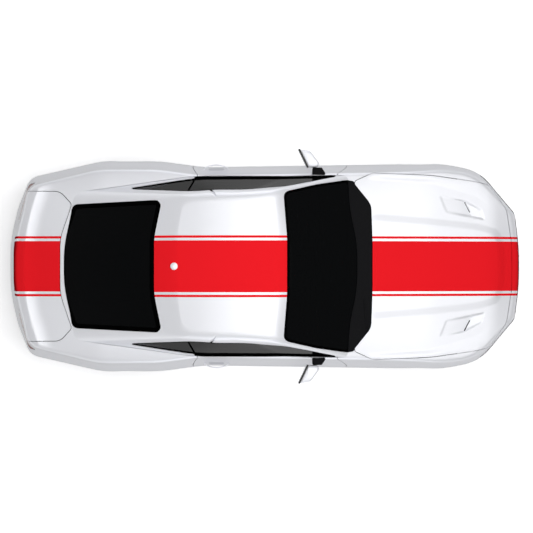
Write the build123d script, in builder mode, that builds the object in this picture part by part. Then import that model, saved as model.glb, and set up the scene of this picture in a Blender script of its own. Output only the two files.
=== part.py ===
"""A white two-door fastback muscle car at full size: panels, glass, lamps, cabin, running gear and wheels.

Millimetres. +X points forward, +Y to the car's left, +Z up. The origin is on the ground under its middle.
The lower body is one closed form: plan outlines lofted upwards, trimmed by a deck form lofted across the car.
The greenhouse is a second closed form of the same kind. Every outer panel is cut from one of these two forms.
"""

from math import cos, pi, radians, sin, tan

from build123d import *

# ---------------------------------------------------------------- driving dimensions
LENGTH = 4784.0
HALF_WIDTH = 977.0  # over the rear haunches
WHEELBASE = 2720.0
FRONT_AXLE_X = 1440.0
FRONT_WHEEL_Y = 791.0  # middle of the tyre
REAR_WHEEL_Y = 808.0
TYRE_RADIUS = 345.0
FRONT_TYRE_WIDTH = 250.0
REAR_TYRE_WIDTH = 270.0

GLASS_GAP = 0.5  # round fixed glass and lamps
DOOR_GLASS_GAP = 5.0  # round the glass that moves with a door
SKIN = 30.0  # wall of hood, lid, fenders and bumpers
SEAT_GAP = 0.3  # running clearance of a piece that sits on another
SHUT_GAP = 6.0  # gap round doors, hood and lid
SEAM = 3.0  # seam between two fixed panels
ARCH_GAP = 45.0  # from tyre to the front wheel arch
REAR_ARCH_GAP = 40.0
SILL_Z = 165.0  # underside of bumpers and sills

NOSE_X = LENGTH / 2
TAIL_X = -LENGTH / 2
REAR_AXLE_X = FRONT_AXLE_X - WHEELBASE
AXLE_Z = TYRE_RADIUS

# Plan outline of the left half, nose to tail, at the widest height.
# columns: reference, distance from it, HALF_WIDTH less the half width, corner radius, share of the setback
PLAN = (
    ("nose", 0, 797, 2300, 1.0),
    ("nose", 40, 485, 110, 1.0),
    ("nose", 380, 93, 420, 0.5),
    ("nose", 740, 24, 1200, 0.0),
    ("rear axle", 720, 57, 1300, 0.0),
    ("rear axle", 320, 3, 1300, 0.0),
    ("rear axle", -220, -2, 900, 0.0),
    ("tail", 187, 155, 150, 0.5),
    ("tail", 74, 417, 1000, 1.0),
    ("tail", 0, 737, 1300, 1.0),
)
# columns: height, inset of the sides, setback of the nose, setback of the tail
WALL = (
    (SILL_Z, 70, 105, 150),
    (320, 22, 16, 30),
    (540, 1, 0, 0),
    (740, 8, 48, 62),
    (930, 84, 190, 112),
    (1060, 104, 330, 140),
)
# Deck form: heights on the centre line, beside the dome, over the fender and beyond the edge.
DECK_Y = (0, 450, 800, 1010)
DECK_SECTIONS = (-3, -2, -1, 0, 1, 2, 3)
# columns: x, heights at the four DECK_Y, corner radius
DECK = (
    (TAIL_X - 100, (985, 985, 965, 930), 0),
    (TAIL_X + 212, (1015, 1012, 992, 950), 150),
    (REAR_AXLE_X - 220, (1055, 1050, 1010, 955), 2000),
    (0, (1040, 1030, 962, 925), 2500),
    (900, (1003, 998, 962, 925), 1500),
    (FRONT_AXLE_X + 60, (935, 925, 912, 880), 3000),
    (NOSE_X - 290, (826, 814, 805, 780), 800),
    (NOSE_X + 100, (672, 676, 690, 690), 0),
)
# Greenhouse outlines of the left half at its foot and at its top plane.
GLASS_FOOT_Z, GLASS_TOP_Z = 900.0, 1420.0
# columns: foot x, foot y, top x, top y, corner radius
GREENHOUSE = (
    (1036, 250, 69, 200, 1200),
    (853, 852, 9, 656, 70),
    (250, 841, -150, 641, 2500),
    (-700, 851, -380, 627, 2500),
    (-2120, 689, -498, 612, 180),
    (-2244, 200, -594, 200, 1200),
)
# Roof line: x, height on the centre line, radius; and how far it falls towards the sides.
ROOF_LINE = ((700, 1325, 0), (-220, 1412, 4000), (-1700, 1262, 0))
ROOF_Y = (0, 350, 600, 740)
ROOF_FALL = (0, 12, 42, 100)
ROOF_WALL = 36.0
GLASS = 6.0
GLASS_SINK = 1.0  # glass lies this far under the metal

FAR = 3000.0  # beyond the car in any direction


def rounded(points, radii):
    """Closed outline of lines joined by tangent arcs; a radius shrinks where its lines are too short."""
    count = len(points)
    corner = [Vector(*p) for p in points]
    ways = [
        ((corner[i - 1] - corner[i]).normalized(), (corner[(i + 1) % count] - corner[i]).normalized())
        for i in range(count)
    ]
    half_turn = [(pi - radians(before.get_angle(after))) / 2 for before, after in ways]
    reach = [r * tan(h) for r, h in zip(radii, half_turn)]
    room = [0.96 * (corner[(i + 1) % count] - corner[i]).length for i in range(count)]
    share = [
        min(1, room[i - 1] / max(1e-6, reach[i - 1] + reach[i]),
            room[i] / max(1e-6, reach[i] + reach[(i + 1) % count]))
        for i in range(count)
    ]
    reach = [t * s for t, s in zip(reach, share)]
    for i in range(count):
        before, after = ways[i]
        if reach[i] > 1e-6:
            radius = reach[i] / tan(half_turn[i])
            middle = (before + after).normalized() * (radius * (1 / cos(half_turn[i]) - 1))
            ThreePointArc(corner[i] + before * reach[i], corner[i] + middle, corner[i] + after * reach[i])
        nxt = (i + 1) % count
        Line(corner[i] + after * reach[i], corner[nxt] + ways[nxt][0] * reach[nxt])


def mirrored(half):
    """Both halves of an outline given as (x, y, radius) from front to back at y above 0."""
    whole = half + [(x, -y, r) for x, y, r in reversed(half)]
    return [(x, y) for x, y, _ in whole], [r for _, _, r in whole]


def prism(plane, outline, low, high, grow=0.0):
    """Outline of (a, b, radius) rows on a plane, grown by a margin and extruded from low to high."""
    with BuildPart() as block:
        with BuildSketch(plane.offset(low)):
            with BuildLine():
                rounded([(a, b) for a, b, _ in outline], [r for _, _, r in outline])
            make_face()
            if grow:
                offset(amount=grow, kind=Kind.INTERSECTION)
        extrude(amount=high - low)
    return block.part


SIDE = Plane((0, 0, 0), x_dir=(1, 0, 0), z_dir=(0, -1, 0))
FRONT = Plane((0, 0, 0), x_dir=(0, 1, 0), z_dir=(1, 0, 0))


def side_prism(outline, y_low, y_high, grow=0.0):
    """Outline of (x, z, radius) rows, extruded from y_low to y_high."""
    return prism(SIDE, outline, -y_high, -y_low, grow)


def lower_body(inset=0.0):
    """The closed form of everything below the glass; an inset form is open to below."""
    top = Pos(0, 0, -inset) * deck_form
    with BuildPart() as walls:
        for height, side, nose, tail in WALL:
            level = height - 60 if inset and height == SILL_Z else height
            half = []
            for reference, distance, narrower, radius, share in PLAN:
                y = HALF_WIDTH - narrower
                at_side = y > 0.6 * HALF_WIDTH
                y -= side + inset if at_side else side * y / HALF_WIDTH
                if reference == "nose":
                    x = NOSE_X - distance - share * nose - inset
                elif reference == "tail":
                    x = TAIL_X + distance + share * tail + inset
                else:
                    x = REAR_AXLE_X + distance
                half.append((x, y, radius))
            with BuildSketch(Plane.XY.offset(level)):
                with BuildLine():
                    rounded(*mirrored(half))
                make_face()
        loft()
        add(top, mode=Mode.INTERSECT)
        Box(LENGTH - 2 * inset, FAR, FAR, mode=Mode.INTERSECT)
    return walls.part


def deck():
    """The form under the hood, belt and trunk lid surfaces."""
    with BuildPart() as form:
        for section in DECK_SECTIONS:
            y = DECK_Y[abs(section)] * (1 if section > 0 else -1)
            line = [(x, heights[abs(section)], r) for x, heights, r in DECK]
            outline = [(TAIL_X - 100, 60, 0), *line, (NOSE_X + 100, 60, 0)]
            with BuildSketch(SIDE.offset(-y)):
                with BuildLine():
                    rounded([(x, z) for x, z, _ in outline], [r for _, _, r in outline])
                make_face()
        loft()
    return form.part


def greenhouse(inset=0.0):
    """The closed form of roof, pillars and glass."""
    crown = Pos(0, 0, -inset) * crown_form
    with BuildPart() as form:
        for level, ax, ay in ((GLASS_FOOT_Z, 0, 1), (GLASS_TOP_Z, 2, 3)):
            half = []
            for row in GREENHOUSE:
                x, y = row[ax], row[ay]
                x -= inset * 2.1 if row in GREENHOUSE[:2] else 0
                x += inset * 3.3 if row in GREENHOUSE[4:] else 0
                y -= inset * 1.1 if row in GREENHOUSE[1:5] else 0
                half.append((x, y, row[4]))
            with BuildSketch(Plane.XY.offset(level)):
                with BuildLine():
                    rounded(*mirrored(half))
                make_face()
        loft(ruled=True)
        add(crown, mode=Mode.INTERSECT)
    return form.part


def roof_crown():
    """The form under the roof surface."""
    with BuildPart() as form:
        for section in DECK_SECTIONS:
            y = ROOF_Y[abs(section)] * (1 if section > 0 else -1)
            line = [(x, z - ROOF_FALL[abs(section)], r) for x, z, r in ROOF_LINE]
            outline = [(700 + 900, 300, 0), (700 + 900, 1180, 0), *line, (-2600, 1160, 0), (-2600, 300, 0)]
            with BuildSketch(SIDE.offset(-y * 1.4)):
                with BuildLine():
                    rounded([(x, z) for x, z, _ in outline], [r for _, _, r in outline])
                make_face()
        loft()
    return form.part


def plan_prism(half, low, high, grow=0.0):
    """Outline of (x, y, radius) rows of the left half, with its mirror image, extruded from low to high."""
    points, radii = mirrored(list(half))
    return prism(Plane.XY, [(*p, r) for p, r in zip(points, radii)], low, high, grow)


def front_prism(half, x_low, x_high, grow=0.0, both=True):
    """Outline of (y, z, radius) rows extruded from x_low to x_high, with its mirror image or on the left only."""
    rows = list(half)
    if both:
        rows = rows + [(-y, z, r) for y, z, r in reversed(rows)]
    return prism(FRONT, rows, x_low, x_high, grow)


def box(x, y, z):
    """Block between two limits on each axis."""
    low = [min(pair) for pair in (x, y, z)]
    size = [abs(pair[1] - pair[0]) for pair in (x, y, z)]
    return Solid.make_box(*size, plane=Plane(origin=low))


def rod(start, end, radius):
    """Round bar between two points."""
    way = Vector(*end) - Vector(*start)
    return Solid.make_cylinder(radius, way.length, Plane(origin=start, z_dir=way))


def both_sides(shape):
    """A shape and its mirror image in the car's middle plane."""
    return [shape, shape.mirror(Plane.XZ)]


def write(builder, name):
    """Labels a finished piece and writes it as one STEP file."""
    builder.part.label = name
    export_step(builder.part, f"parts/{name}.step")


# ---------------------------------------------------------------- sizes of the pieces
DOOR_FRONT_X, DOOR_REAR_X = 757.0, -661.0
DOOR_INNER_Y = 785.0
DOOR_STEP = 16.0  # the door's inner shell is this much shorter at front, rear and foot
SILL_TOP_Z, DOOR_TOP_Z = 228.0, 1100.0
HANDLE_X, HANDLE_Y, HANDLE_Z = (-560.0, -325.0), (870.0, 940.0), (788.0, 814.0)
KINGPIN_Y = 725.0
SPINDLE_RADIUS, BORE_RADIUS = 32.95, 33.0
RIM_RADIUS = 235.0
FLOOR_Z, FLOOR_THICK = 200.0, 14.0
BAY_Y = 440.0  # inner face of the engine bay's aprons
APRON = 30.0
FIREWALL_X = 985.0
TIP_Y, TIP_Z, TIP_RADIUS = 500.0, 235.0, 38.0
MUFFLER_X = -2080.0  # rear end of the silencers
FRONT_ARCH = TYRE_RADIUS + ARCH_GAP
REAR_ARCH = TYRE_RADIUS + REAR_ARCH_GAP
LINER = 10.0

# Shut lines seen from above: x, half width, corner radius.
HOOD = (
    (2290, 200, 900), (2238, 522, 150), (2069, 752, 60), (1913, 780, 600), (1530, 830, 1500),
    (985, 850, 40), (802, 767, 30), (968, 560, 150), (978, 200, 900),
)
DOME = ((2190, 150, 900), (2140, 310, 90), (1970, 362, 900), (1500, 410, 2000), (1003, 442, 40),
        (1000, 200, 900))
DOME_RISE = 9.0
VENT = ((1592, 654, 15), (1660, 490, 25), (2029, 422, 12), (2002, 522, 25), (1838, 604, 200))
VENT_SLOT = ((1822, 598, 5), (1878, 494, 5), (1898, 490, 5), (1842, 592, 5))
VENT_DEPTH = 10.0
COWL = ((1010, 300, 0), (1010, 560, 0), (806, 774, 0), (600, 812, 0))
LID = ((-1848, 250, 500), (-1742, 562, 40), (-1850, 678, 110), (-2500, 682, 0))
# seen from behind: half width, height, radius
LID_FACE = ((690, 1200, 0), (690, 942, 20), (412, 928, 30), (388, 790, 30))
# Seams seen from the side: x, height, corner radius.
NOSE_SEAM = ((FRONT_AXLE_X, AXLE_Z, 0), (1700, 597, 60), (1990, 651, 80), (2062, 765, 40), (2078, 1100, 0))
TAIL_SEAM = ((REAR_AXLE_X, AXLE_Z, 0), (-1560, 560, 60), (-2060, 640, 80), (-2225, 762, 40), (-2600, 770, 0))
DOOR = (
    (DOOR_FRONT_X, SILL_TOP_Z, 60), (DOOR_FRONT_X, 800, 120), (DOOR_FRONT_X - 97, 960, 40),
    (DOOR_FRONT_X - 102, DOOR_TOP_Z, 0), (DOOR_REAR_X + 61, DOOR_TOP_Z, 0), (DOOR_REAR_X + 49, 950, 60),
    (DOOR_REAR_X, 790, 200), (DOOR_REAR_X + 21, 420, 200), (DOOR_REAR_X + 71, SILL_TOP_Z, 70),
)
# Lamps and grilles seen from the front: half width, height, corner radius.
HEADLAMP = ((470, 660, 20), (500, 722, 20), (790, 752, 15), (850, 742, 15), (830, 690, 20), (640, 655, 30))
TAIL_LAMP = ((425, 800, 15), (430, 900, 20), (700, 915, 20), (770, 895, 25), (755, 815, 20))
LAMP_FRONT_X, LAMP_DEPTH_X = 1950.0, 2035.0  # front of the headlamps' holes and of the lamps in them
TAIL_LAMP_X = -2100.0
GRILLE_UPPER = ((440, 612, 30), (458, 690, 30), (420, 706, 20))
GRILLE_LOWER = ((560, 252, 30), (620, 330, 40), (560, 420, 30))
# Glass seen from above and from the side.
WINDSHIELD = ((1100, 300, 0), (1100, 800, 0), (730, 782, 60), (467, 736, 400), (168, 658, 60),
              (200, 250, 900))
REAR_WINDOW = ((-975, 250, 700), (-905, 590, 50), (-1728, 560, 60), (-1842, 250, 500))
SIDE_WINDOW = (
    (650, 860, 0), (643, 1002, 15), (190, 1268, 350), (-180, 1318, 900), (-620, 1296, 900),
    (-1180, 1110, 60), (-1215, 1066, 20), (-900, 1035, 60), (-640, 1012, 20), (-612, 860, 0),
)
DIVIDER = ((-602, GLASS_FOOT_Z), (-690, 1330))  # rear edge of the door glass: x, height
DIVIDER_GAP = 10.0

# ---------------------------------------------------------------- master forms
deck_form = deck()
crown_form = roof_crown()
body_form = lower_body()
body_inner = lower_body(SKIN)
seat_form = lower_body(SKIN + SEAT_GAP)
roof_outer = greenhouse()
roof_inner = greenhouse(ROOF_WALL)
roof_hole = greenhouse(-SEAM)
glass_outer = greenhouse(GLASS_SINK)
glass_inner = greenhouse(GLASS_SINK + GLASS)
plain_skin = body_form - body_inner
skin = plain_skin - (roof_hole & box((LID[0][0], FAR), (-FAR, FAR), (0, FAR)))
glass_shell = glass_outer - glass_inner
arches = [
    rod((x, -FAR, AXLE_Z), (x, FAR, AXLE_Z), radius)
    for x, radius in ((FRONT_AXLE_X, FRONT_ARCH), (REAR_AXLE_X, REAR_ARCH))
]

hood_hole = plan_prism(HOOD, 560, 1300, SHUT_GAP / 2)
hood_block = plan_prism(HOOD, 560, 1300, -SHUT_GAP / 2)
cowl_hole = plan_prism(COWL, 700, 1300, SEAM / 2)
cowl_block = plan_prism(COWL, 700, 1300, -SEAM / 2)
door_hole = side_prism(DOOR, 0, FAR, SHUT_GAP / 2)
door_block = side_prism(DOOR, 0, FAR, -SHUT_GAP / 2)
door_core_block = side_prism(DOOR, DOOR_INNER_Y, FAR, -SHUT_GAP / 2 - DOOR_STEP)
lid_plan = plan_prism(LID, 600, 1300, SHUT_GAP / 2)
lid_hole = lid_plan & front_prism(LID_FACE, -FAR, FAR, SHUT_GAP / 2)
lid_block = plan_prism(LID, 600, 1300, -SHUT_GAP / 2) & front_prism(LID_FACE, -FAR, FAR, -SHUT_GAP / 2)
headlamp_hole = front_prism(HEADLAMP, LAMP_FRONT_X, FAR, GLASS_GAP / 2, both=False)
headlamp_block = front_prism(HEADLAMP, LAMP_DEPTH_X, FAR, -GLASS_GAP / 2, both=False)
tail_lamp_hole = front_prism(TAIL_LAMP, -FAR, TAIL_LAMP_X + GLASS_GAP, GLASS_GAP / 2, both=False)
tail_lamp_block = front_prism(TAIL_LAMP, -FAR, TAIL_LAMP_X, -GLASS_GAP / 2, both=False)
nose_seam_side = [*NOSE_SEAM, (FAR, 1100, 0), (FAR, 60, 0), (FRONT_AXLE_X, 60, 0)]
fender_side = [
    *NOSE_SEAM, (DOOR_FRONT_X - 120, DOOR_TOP_Z, 0), (DOOR_FRONT_X - 120, 600, 0), (DOOR_FRONT_X, 600, 0),
    (DOOR_FRONT_X, SILL_TOP_Z, 0), (FRONT_AXLE_X, SILL_TOP_Z, 0),
]
tail_seam_side = [*TAIL_SEAM, (-FAR, 60, 0), (REAR_AXLE_X, 60, 0)]

# ---------------------------------------------------------------- outer panels
dome = ((Pos(0, 0, DOME_RISE) * body_form) & plan_prism(DOME, 700, 1300)) - body_inner
vent = prism(Plane.XY, VENT, 700, 1300) - (Pos(0, 0, -VENT_DEPTH) * body_form)
with BuildPart() as hood:
    add(plain_skin)
    add(hood_block, mode=Mode.INTERSECT)
    add(dome)
    add([*both_sides(vent), *both_sides(prism(Plane.XY, VENT_SLOT, 700, 1300))], mode=Mode.SUBTRACT)
write(hood, "hood")

with BuildPart() as cowl:
    add(skin)
    add(cowl_block, mode=Mode.INTERSECT)
    add([hood_hole, *both_sides(door_hole)], mode=Mode.SUBTRACT)
write(cowl, "cowl")

with BuildPart() as trunk_lid:
    add(plain_skin)
    add(lid_block, mode=Mode.INTERSECT)
write(trunk_lid, "trunk_lid")

nose_block = side_prism(nose_seam_side, -FAR, FAR, -SEAM / 2)
headlamp_holes = both_sides(headlamp_hole)
grille_holes = [front_prism(rows, 1900, FAR) for rows in (GRILLE_UPPER, GRILLE_LOWER)]
with BuildPart() as front_bumper:
    add(plain_skin)
    add(nose_block, mode=Mode.INTERSECT)
    add([hood_hole, *arches, *headlamp_holes, *grille_holes], mode=Mode.SUBTRACT)
write(front_bumper, "front_bumper")

fender_block = side_prism(fender_side, 0, FAR, -SEAM / 2)
with BuildPart() as fender_left:
    add(skin)
    add(fender_block, mode=Mode.INTERSECT)
    add([hood_hole, cowl_hole, door_hole, *arches, headlamp_hole], mode=Mode.SUBTRACT)
write(fender_left, "fender_left")

tail_block = side_prism(tail_seam_side, -FAR, FAR, -SEAM / 2)
tail_hole = side_prism(tail_seam_side, -FAR, FAR, SEAM / 2)
tips = [rod((MUFFLER_X, y, TIP_Z), (-FAR, y, TIP_Z), TIP_RADIUS + 5) for y in (TIP_Y, -TIP_Y)]
with BuildPart() as rear_bumper:
    add(plain_skin)
    add(tail_block, mode=Mode.INTERSECT)
    add([lid_hole, *arches, *tips], mode=Mode.SUBTRACT)
write(rear_bumper, "rear_bumper")

quarter_side = [
    (DOOR_REAR_X + 120, 1300, 0), (DOOR_REAR_X + 120, 600, 0), (DOOR_FRONT_X, 600, 0),
    (DOOR_FRONT_X, SILL_TOP_Z, 0),
    (FRONT_AXLE_X, SILL_TOP_Z, 0), (FRONT_AXLE_X, 60, 0), (-FAR, 60, 0), (-FAR, 1300, 0),
]
quarter_block = side_prism(quarter_side, SEAM / 2, FAR, -SEAM / 2)
under_window = box((LID[0][0] - 60, -1500), (0, 590), (900, FAR))
with BuildPart() as side_left:
    add(skin)
    add(quarter_block, mode=Mode.INTERSECT)
    add([door_hole, lid_hole, tail_hole, *arches, tail_lamp_hole, under_window], mode=Mode.SUBTRACT)
write(side_left, "side_left")

door_outer = skin & door_block
with BuildPart() as handle_bar:
    add(box(HANDLE_X, HANDLE_Y, HANDLE_Z))
    fillet(handle_bar.edges().filter_by(Axis.Y), 12)
handle = handle_bar.part - body_inner
door_core = (body_inner & door_core_block) - roof_hole
with BuildPart() as door_left:
    add(door_outer)
    add(door_core)
    add(handle)
write(door_left, "door_left")

# ---------------------------------------------------------------- roof and glass
windshield_hole = plan_prism(WINDSHIELD, 800, 1500)
rear_window_hole = plan_prism(REAR_WINDOW, 800, 1500)
side_windows = side_prism(SIDE_WINDOW, -FAR, FAR)
door_under_glass = side_prism(DOOR, -FAR, FAR, SHUT_GAP / 2) & box((-FAR, FAR), (-FAR, FAR), (0, 950))
behind_glass = box((-FAR, LID[0][0]), (-FAR, FAR), (0, FAR))
with BuildPart() as roof:
    add(roof_outer - roof_inner)
    add([windshield_hole, rear_window_hole, side_windows, lid_plan, behind_glass], mode=Mode.SUBTRACT)
    add(door_under_glass, mode=Mode.SUBTRACT)
write(roof, "roof")

with BuildPart() as windshield:
    add(glass_shell)
    add(plan_prism(WINDSHIELD, 700, 1500, -GLASS_GAP), mode=Mode.INTERSECT)
    add(box((-FAR, 955), (-FAR, FAR), (0, FAR)), mode=Mode.INTERSECT)
write(windshield, "windshield")

with BuildPart() as rear_window:
    add(glass_shell)
    add(plan_prism(REAR_WINDOW, 700, 1500, -GLASS_GAP), mode=Mode.INTERSECT)
write(rear_window, "rear_window")

side_glass = glass_shell & side_prism(SIDE_WINDOW, 0, FAR, -DOOR_GLASS_GAP)
divider = [(x, z, 0) for x, z in DIVIDER]
with BuildPart() as door_glass_left:
    add(side_glass)
    add(side_prism([*divider, (FAR, 1330, 0), (FAR, GLASS_FOOT_Z, 0)], 0, FAR), mode=Mode.INTERSECT)
    add(box((-FAR, FAR), (0, FAR), (GLASS_FOOT_Z + SEAT_GAP, FAR)), mode=Mode.INTERSECT)
write(door_glass_left, "door_glass_left")

quarter_pane = glass_shell & side_prism(SIDE_WINDOW, 0, FAR, -GLASS_GAP)
behind_divider = [(x - DIVIDER_GAP, z, 0) for x, z, _ in divider]
quarter_pane = quarter_pane & side_prism([*behind_divider, (-FAR, 1330, 0), (-FAR, GLASS_FOOT_Z, 0)], 0, FAR)
quarter_pane = quarter_pane & box((-FAR, 0), (0, FAR), (1000, FAR))
with BuildPart() as quarter_glass:
    add(both_sides(quarter_pane))
write(quarter_glass, "quarter_glass")

# ---------------------------------------------------------------- body shell under the panels
POST_TOP_Z = GLASS_FOOT_Z - SEAT_GAP
FRONT_HOUSE_Y, REAR_HOUSE_Y = 470.0, 650.0
BULKHEAD_X, TAIL_WALL_X = -1000.0, -2215.0
BOOT_Z, REAR_FLOOR_Z, WELL_X = 300.0, 500.0, -1600.0
TOWER_Z = 815.0
TUNNEL_Y, TUNNEL_Z = 150.0, 420.0
SHEET = 14.0
door_sweep = side_prism(DOOR, DOOR_INNER_Y - 12, FAR, SHUT_GAP / 2)

fixed, cuts = [], []
for side in (1, -1):
    fixed += [
        box((-700, 1000), (side * 700, side * FAR), (FLOOR_Z - 30, 330)),  # sill
        # hinge post
        box((DOOR_FRONT_X + 15, DOOR_FRONT_X + 93), (side * 800, side * FAR), (FLOOR_Z, POST_TOP_Z)),
        box((-760, DOOR_REAR_X - 10), (side * 770, side * FAR), (FLOOR_Z, POST_TOP_Z)),  # latch post
        box((980, 1960), (side * 700, side * FAR), (745, 960)) - hood_hole,  # rail under the fender
        box((2110, 2140), (0, side * 500), (300, 700)),  # radiator support
        box((FIREWALL_X, 2180), (side * 400, side * FRONT_HOUSE_Y), (330, 470)),  # chassis leg
        box((FIREWALL_X, 1960), (side * BAY_Y, side * FRONT_HOUSE_Y), (330, 790)),  # apron
        box((-2230, -640), (side * (REAR_HOUSE_Y - 10), side * REAR_HOUSE_Y), (FLOOR_Z, POST_TOP_Z)),
        box((-2050, -640), (side * (REAR_HOUSE_Y - 10), side * FAR),
            (REAR_ARCH + AXLE_Z, REAR_ARCH + AXLE_Z + 12)),
        box((FRONT_AXLE_X - 125, FRONT_AXLE_X + 125), (side * 562, side * 680), (700, TOWER_Z + 15)),  # tower
        rod((2125, side * 350, 600), (2125, side * 350, FAR), 12),  # hood stop
        rod((TAIL_WALL_X - 7, side * 350, 600), (TAIL_WALL_X - 7, side * 350, FAR), 12),  # lid stop
        rod((FRONT_AXLE_X, side * (FRONT_HOUSE_Y - 8), AXLE_Z), (FRONT_AXLE_X, side * 900, AXLE_Z),
            FRONT_ARCH + LINER)
        - box((0, FAR), (-FAR, FAR), (-FAR, AXLE_Z - 100)),
        rod((REAR_AXLE_X, side * (REAR_HOUSE_Y - 10), AXLE_Z), (REAR_AXLE_X, side * 900, AXLE_Z),
            REAR_ARCH + LINER)
        - box((-FAR, 0), (-FAR, FAR), (-FAR, AXLE_Z - 100)),
    ]
    cuts += [
        rod((FRONT_AXLE_X, side * FRONT_HOUSE_Y, AXLE_Z), (FRONT_AXLE_X, side * FAR, AXLE_Z), FRONT_ARCH),
        rod((REAR_AXLE_X, side * REAR_HOUSE_Y, AXLE_Z), (REAR_AXLE_X, side * FAR, AXLE_Z), REAR_ARCH),
        box((FRONT_AXLE_X - 113, FRONT_AXLE_X + 113), (side * 574, side * 668), (600, TOWER_Z)),
        box((REAR_AXLE_X - 60, REAR_AXLE_X + 60), (side * 600, side * 700), (100, 420)),
        box((FRONT_AXLE_X - 150, FRONT_AXLE_X + 150), (side * 440, side * 500), (100, 330)),
    ]
fixed += [
    box((BULKHEAD_X, FIREWALL_X + 10), (-FAR, FAR), (FLOOR_Z, FLOOR_Z + FLOOR_THICK)),
    box((BULKHEAD_X, FIREWALL_X), (-TUNNEL_Y, TUNNEL_Y), (FLOOR_Z, TUNNEL_Z)),
    box((BULKHEAD_X - 10, BULKHEAD_X), (-REAR_HOUSE_Y, REAR_HOUSE_Y), (FLOOR_Z, POST_TOP_Z)),
    box((WELL_X, BULKHEAD_X), (-REAR_HOUSE_Y, REAR_HOUSE_Y), (REAR_FLOOR_Z, REAR_FLOOR_Z + SHEET)),
    box((WELL_X - 10, WELL_X), (-REAR_HOUSE_Y, REAR_HOUSE_Y), (BOOT_Z, REAR_FLOOR_Z + SHEET)),
    box((TAIL_WALL_X, WELL_X), (-REAR_HOUSE_Y, REAR_HOUSE_Y), (BOOT_Z, BOOT_Z + SHEET)),
    box((TAIL_WALL_X - SHEET, TAIL_WALL_X), (-620, 620), (BOOT_Z, 740)),
    box((-FAR, TAIL_WALL_X - SHEET), (-500, 500), (400, 560)),  # rear bumper beam
    box((FIREWALL_X, FIREWALL_X + 10), (-780, 780), (FLOOR_Z, 860)),
    box((800, FIREWALL_X), (-790, 790), (850, POST_TOP_Z)),  # cowl box
    box((958, 972), (-540, 540), (850, FAR)),  # flange under the cowl panel
    box((-1700, BULKHEAD_X), (-REAR_HOUSE_Y, REAR_HOUSE_Y), (POST_TOP_Z - 12, POST_TOP_Z)),  # shelf
    box((2170, 2200), (-560, 560), (445, 588)),
    box((2200, FAR), (-480, 480), (445, 588)),  # front bumper beam
]
cuts += [
    box((BULKHEAD_X - 20, FIREWALL_X + 60), (-TUNNEL_Y + SHEET, TUNNEL_Y - SHEET), (0, TUNNEL_Z - SHEET)),
    door_sweep, door_sweep.mirror(Plane.XZ), roof_hole & box((900, FAR), (-FAR, FAR), (POST_TOP_Z, FAR)),
]
with BuildPart() as unibody:
    add(fixed)
    add(seat_form, mode=Mode.INTERSECT)
    add(cuts, mode=Mode.SUBTRACT)
write(unibody, "unibody")

with BuildPart() as door_seals:
    for side in (1, -1):
        add(box((-480, 600), (side * (DOOR_INNER_Y - 12 + SEAT_GAP), side * (DOOR_INNER_Y - SEAT_GAP)),
                (255, 300)))
write(door_seals, "door_seals")

# ---------------------------------------------------------------- lamps, grille, mirrors, antenna
lamp = (body_form & headlamp_block) - hood_hole
with BuildPart() as headlamps:
    add(both_sides(lamp))
write(headlamps, "headlamps")

lamp = (plain_skin & tail_lamp_block) - lid_hole
with BuildPart() as tail_lamps:
    add(both_sides(lamp))
write(tail_lamps, "tail_lamps")

mesh_wall = seat_form - Pos(-12, 0, 0) * seat_form
mesh_outline = [front_prism(rows, 2000, FAR, 8) for rows in (GRILLE_UPPER, GRILLE_LOWER)]
with BuildPart() as grille:
    add([mesh_wall & outline for outline in mesh_outline])
write(grille, "grille")

head = prism(Plane.XY, [(519, 894, 30), (412, 1040, 40), (300, 1062, 25), (384, 882, 30)], 985, 1105)
arm = prism(Plane.XY, [(562, 836, 10), (505, 905, 20), (440, 905, 20), (432, 838, 10)], 905, 1004)
with BuildPart() as mirror_left:
    add(head)
    fillet(mirror_left.edges().filter_by(Plane.XY), 22)
    add(arm)
    add(box((435, 495), (880, 930), (990, 1010)))
    add(Pos(0, 0, SEAT_GAP) * body_form, mode=Mode.SUBTRACT)
write(mirror_left, "mirror_left")

antenna_form = rod((-795, 0, 1300), (-795, 0, 1400), 32) - Pos(0, 0, SEAT_GAP) * roof_outer
with BuildPart() as roof_antenna:
    add(antenna_form)
write(roof_antenna, "roof_antenna")

# ---------------------------------------------------------------- wheels
# Tyre section: radius, share of the width from the middle.
TYRE = ((RIM_RADIUS + SEAT_GAP, 0.42), (RIM_RADIUS + 14, 0.42), (268, 0.5), (310, 0.5), (338, 0.44),
        (TYRE_RADIUS, 0.34))
HUB_RADIUS, DISC_RADIUS, BARREL = 75.0, 188.0, 13.0


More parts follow.
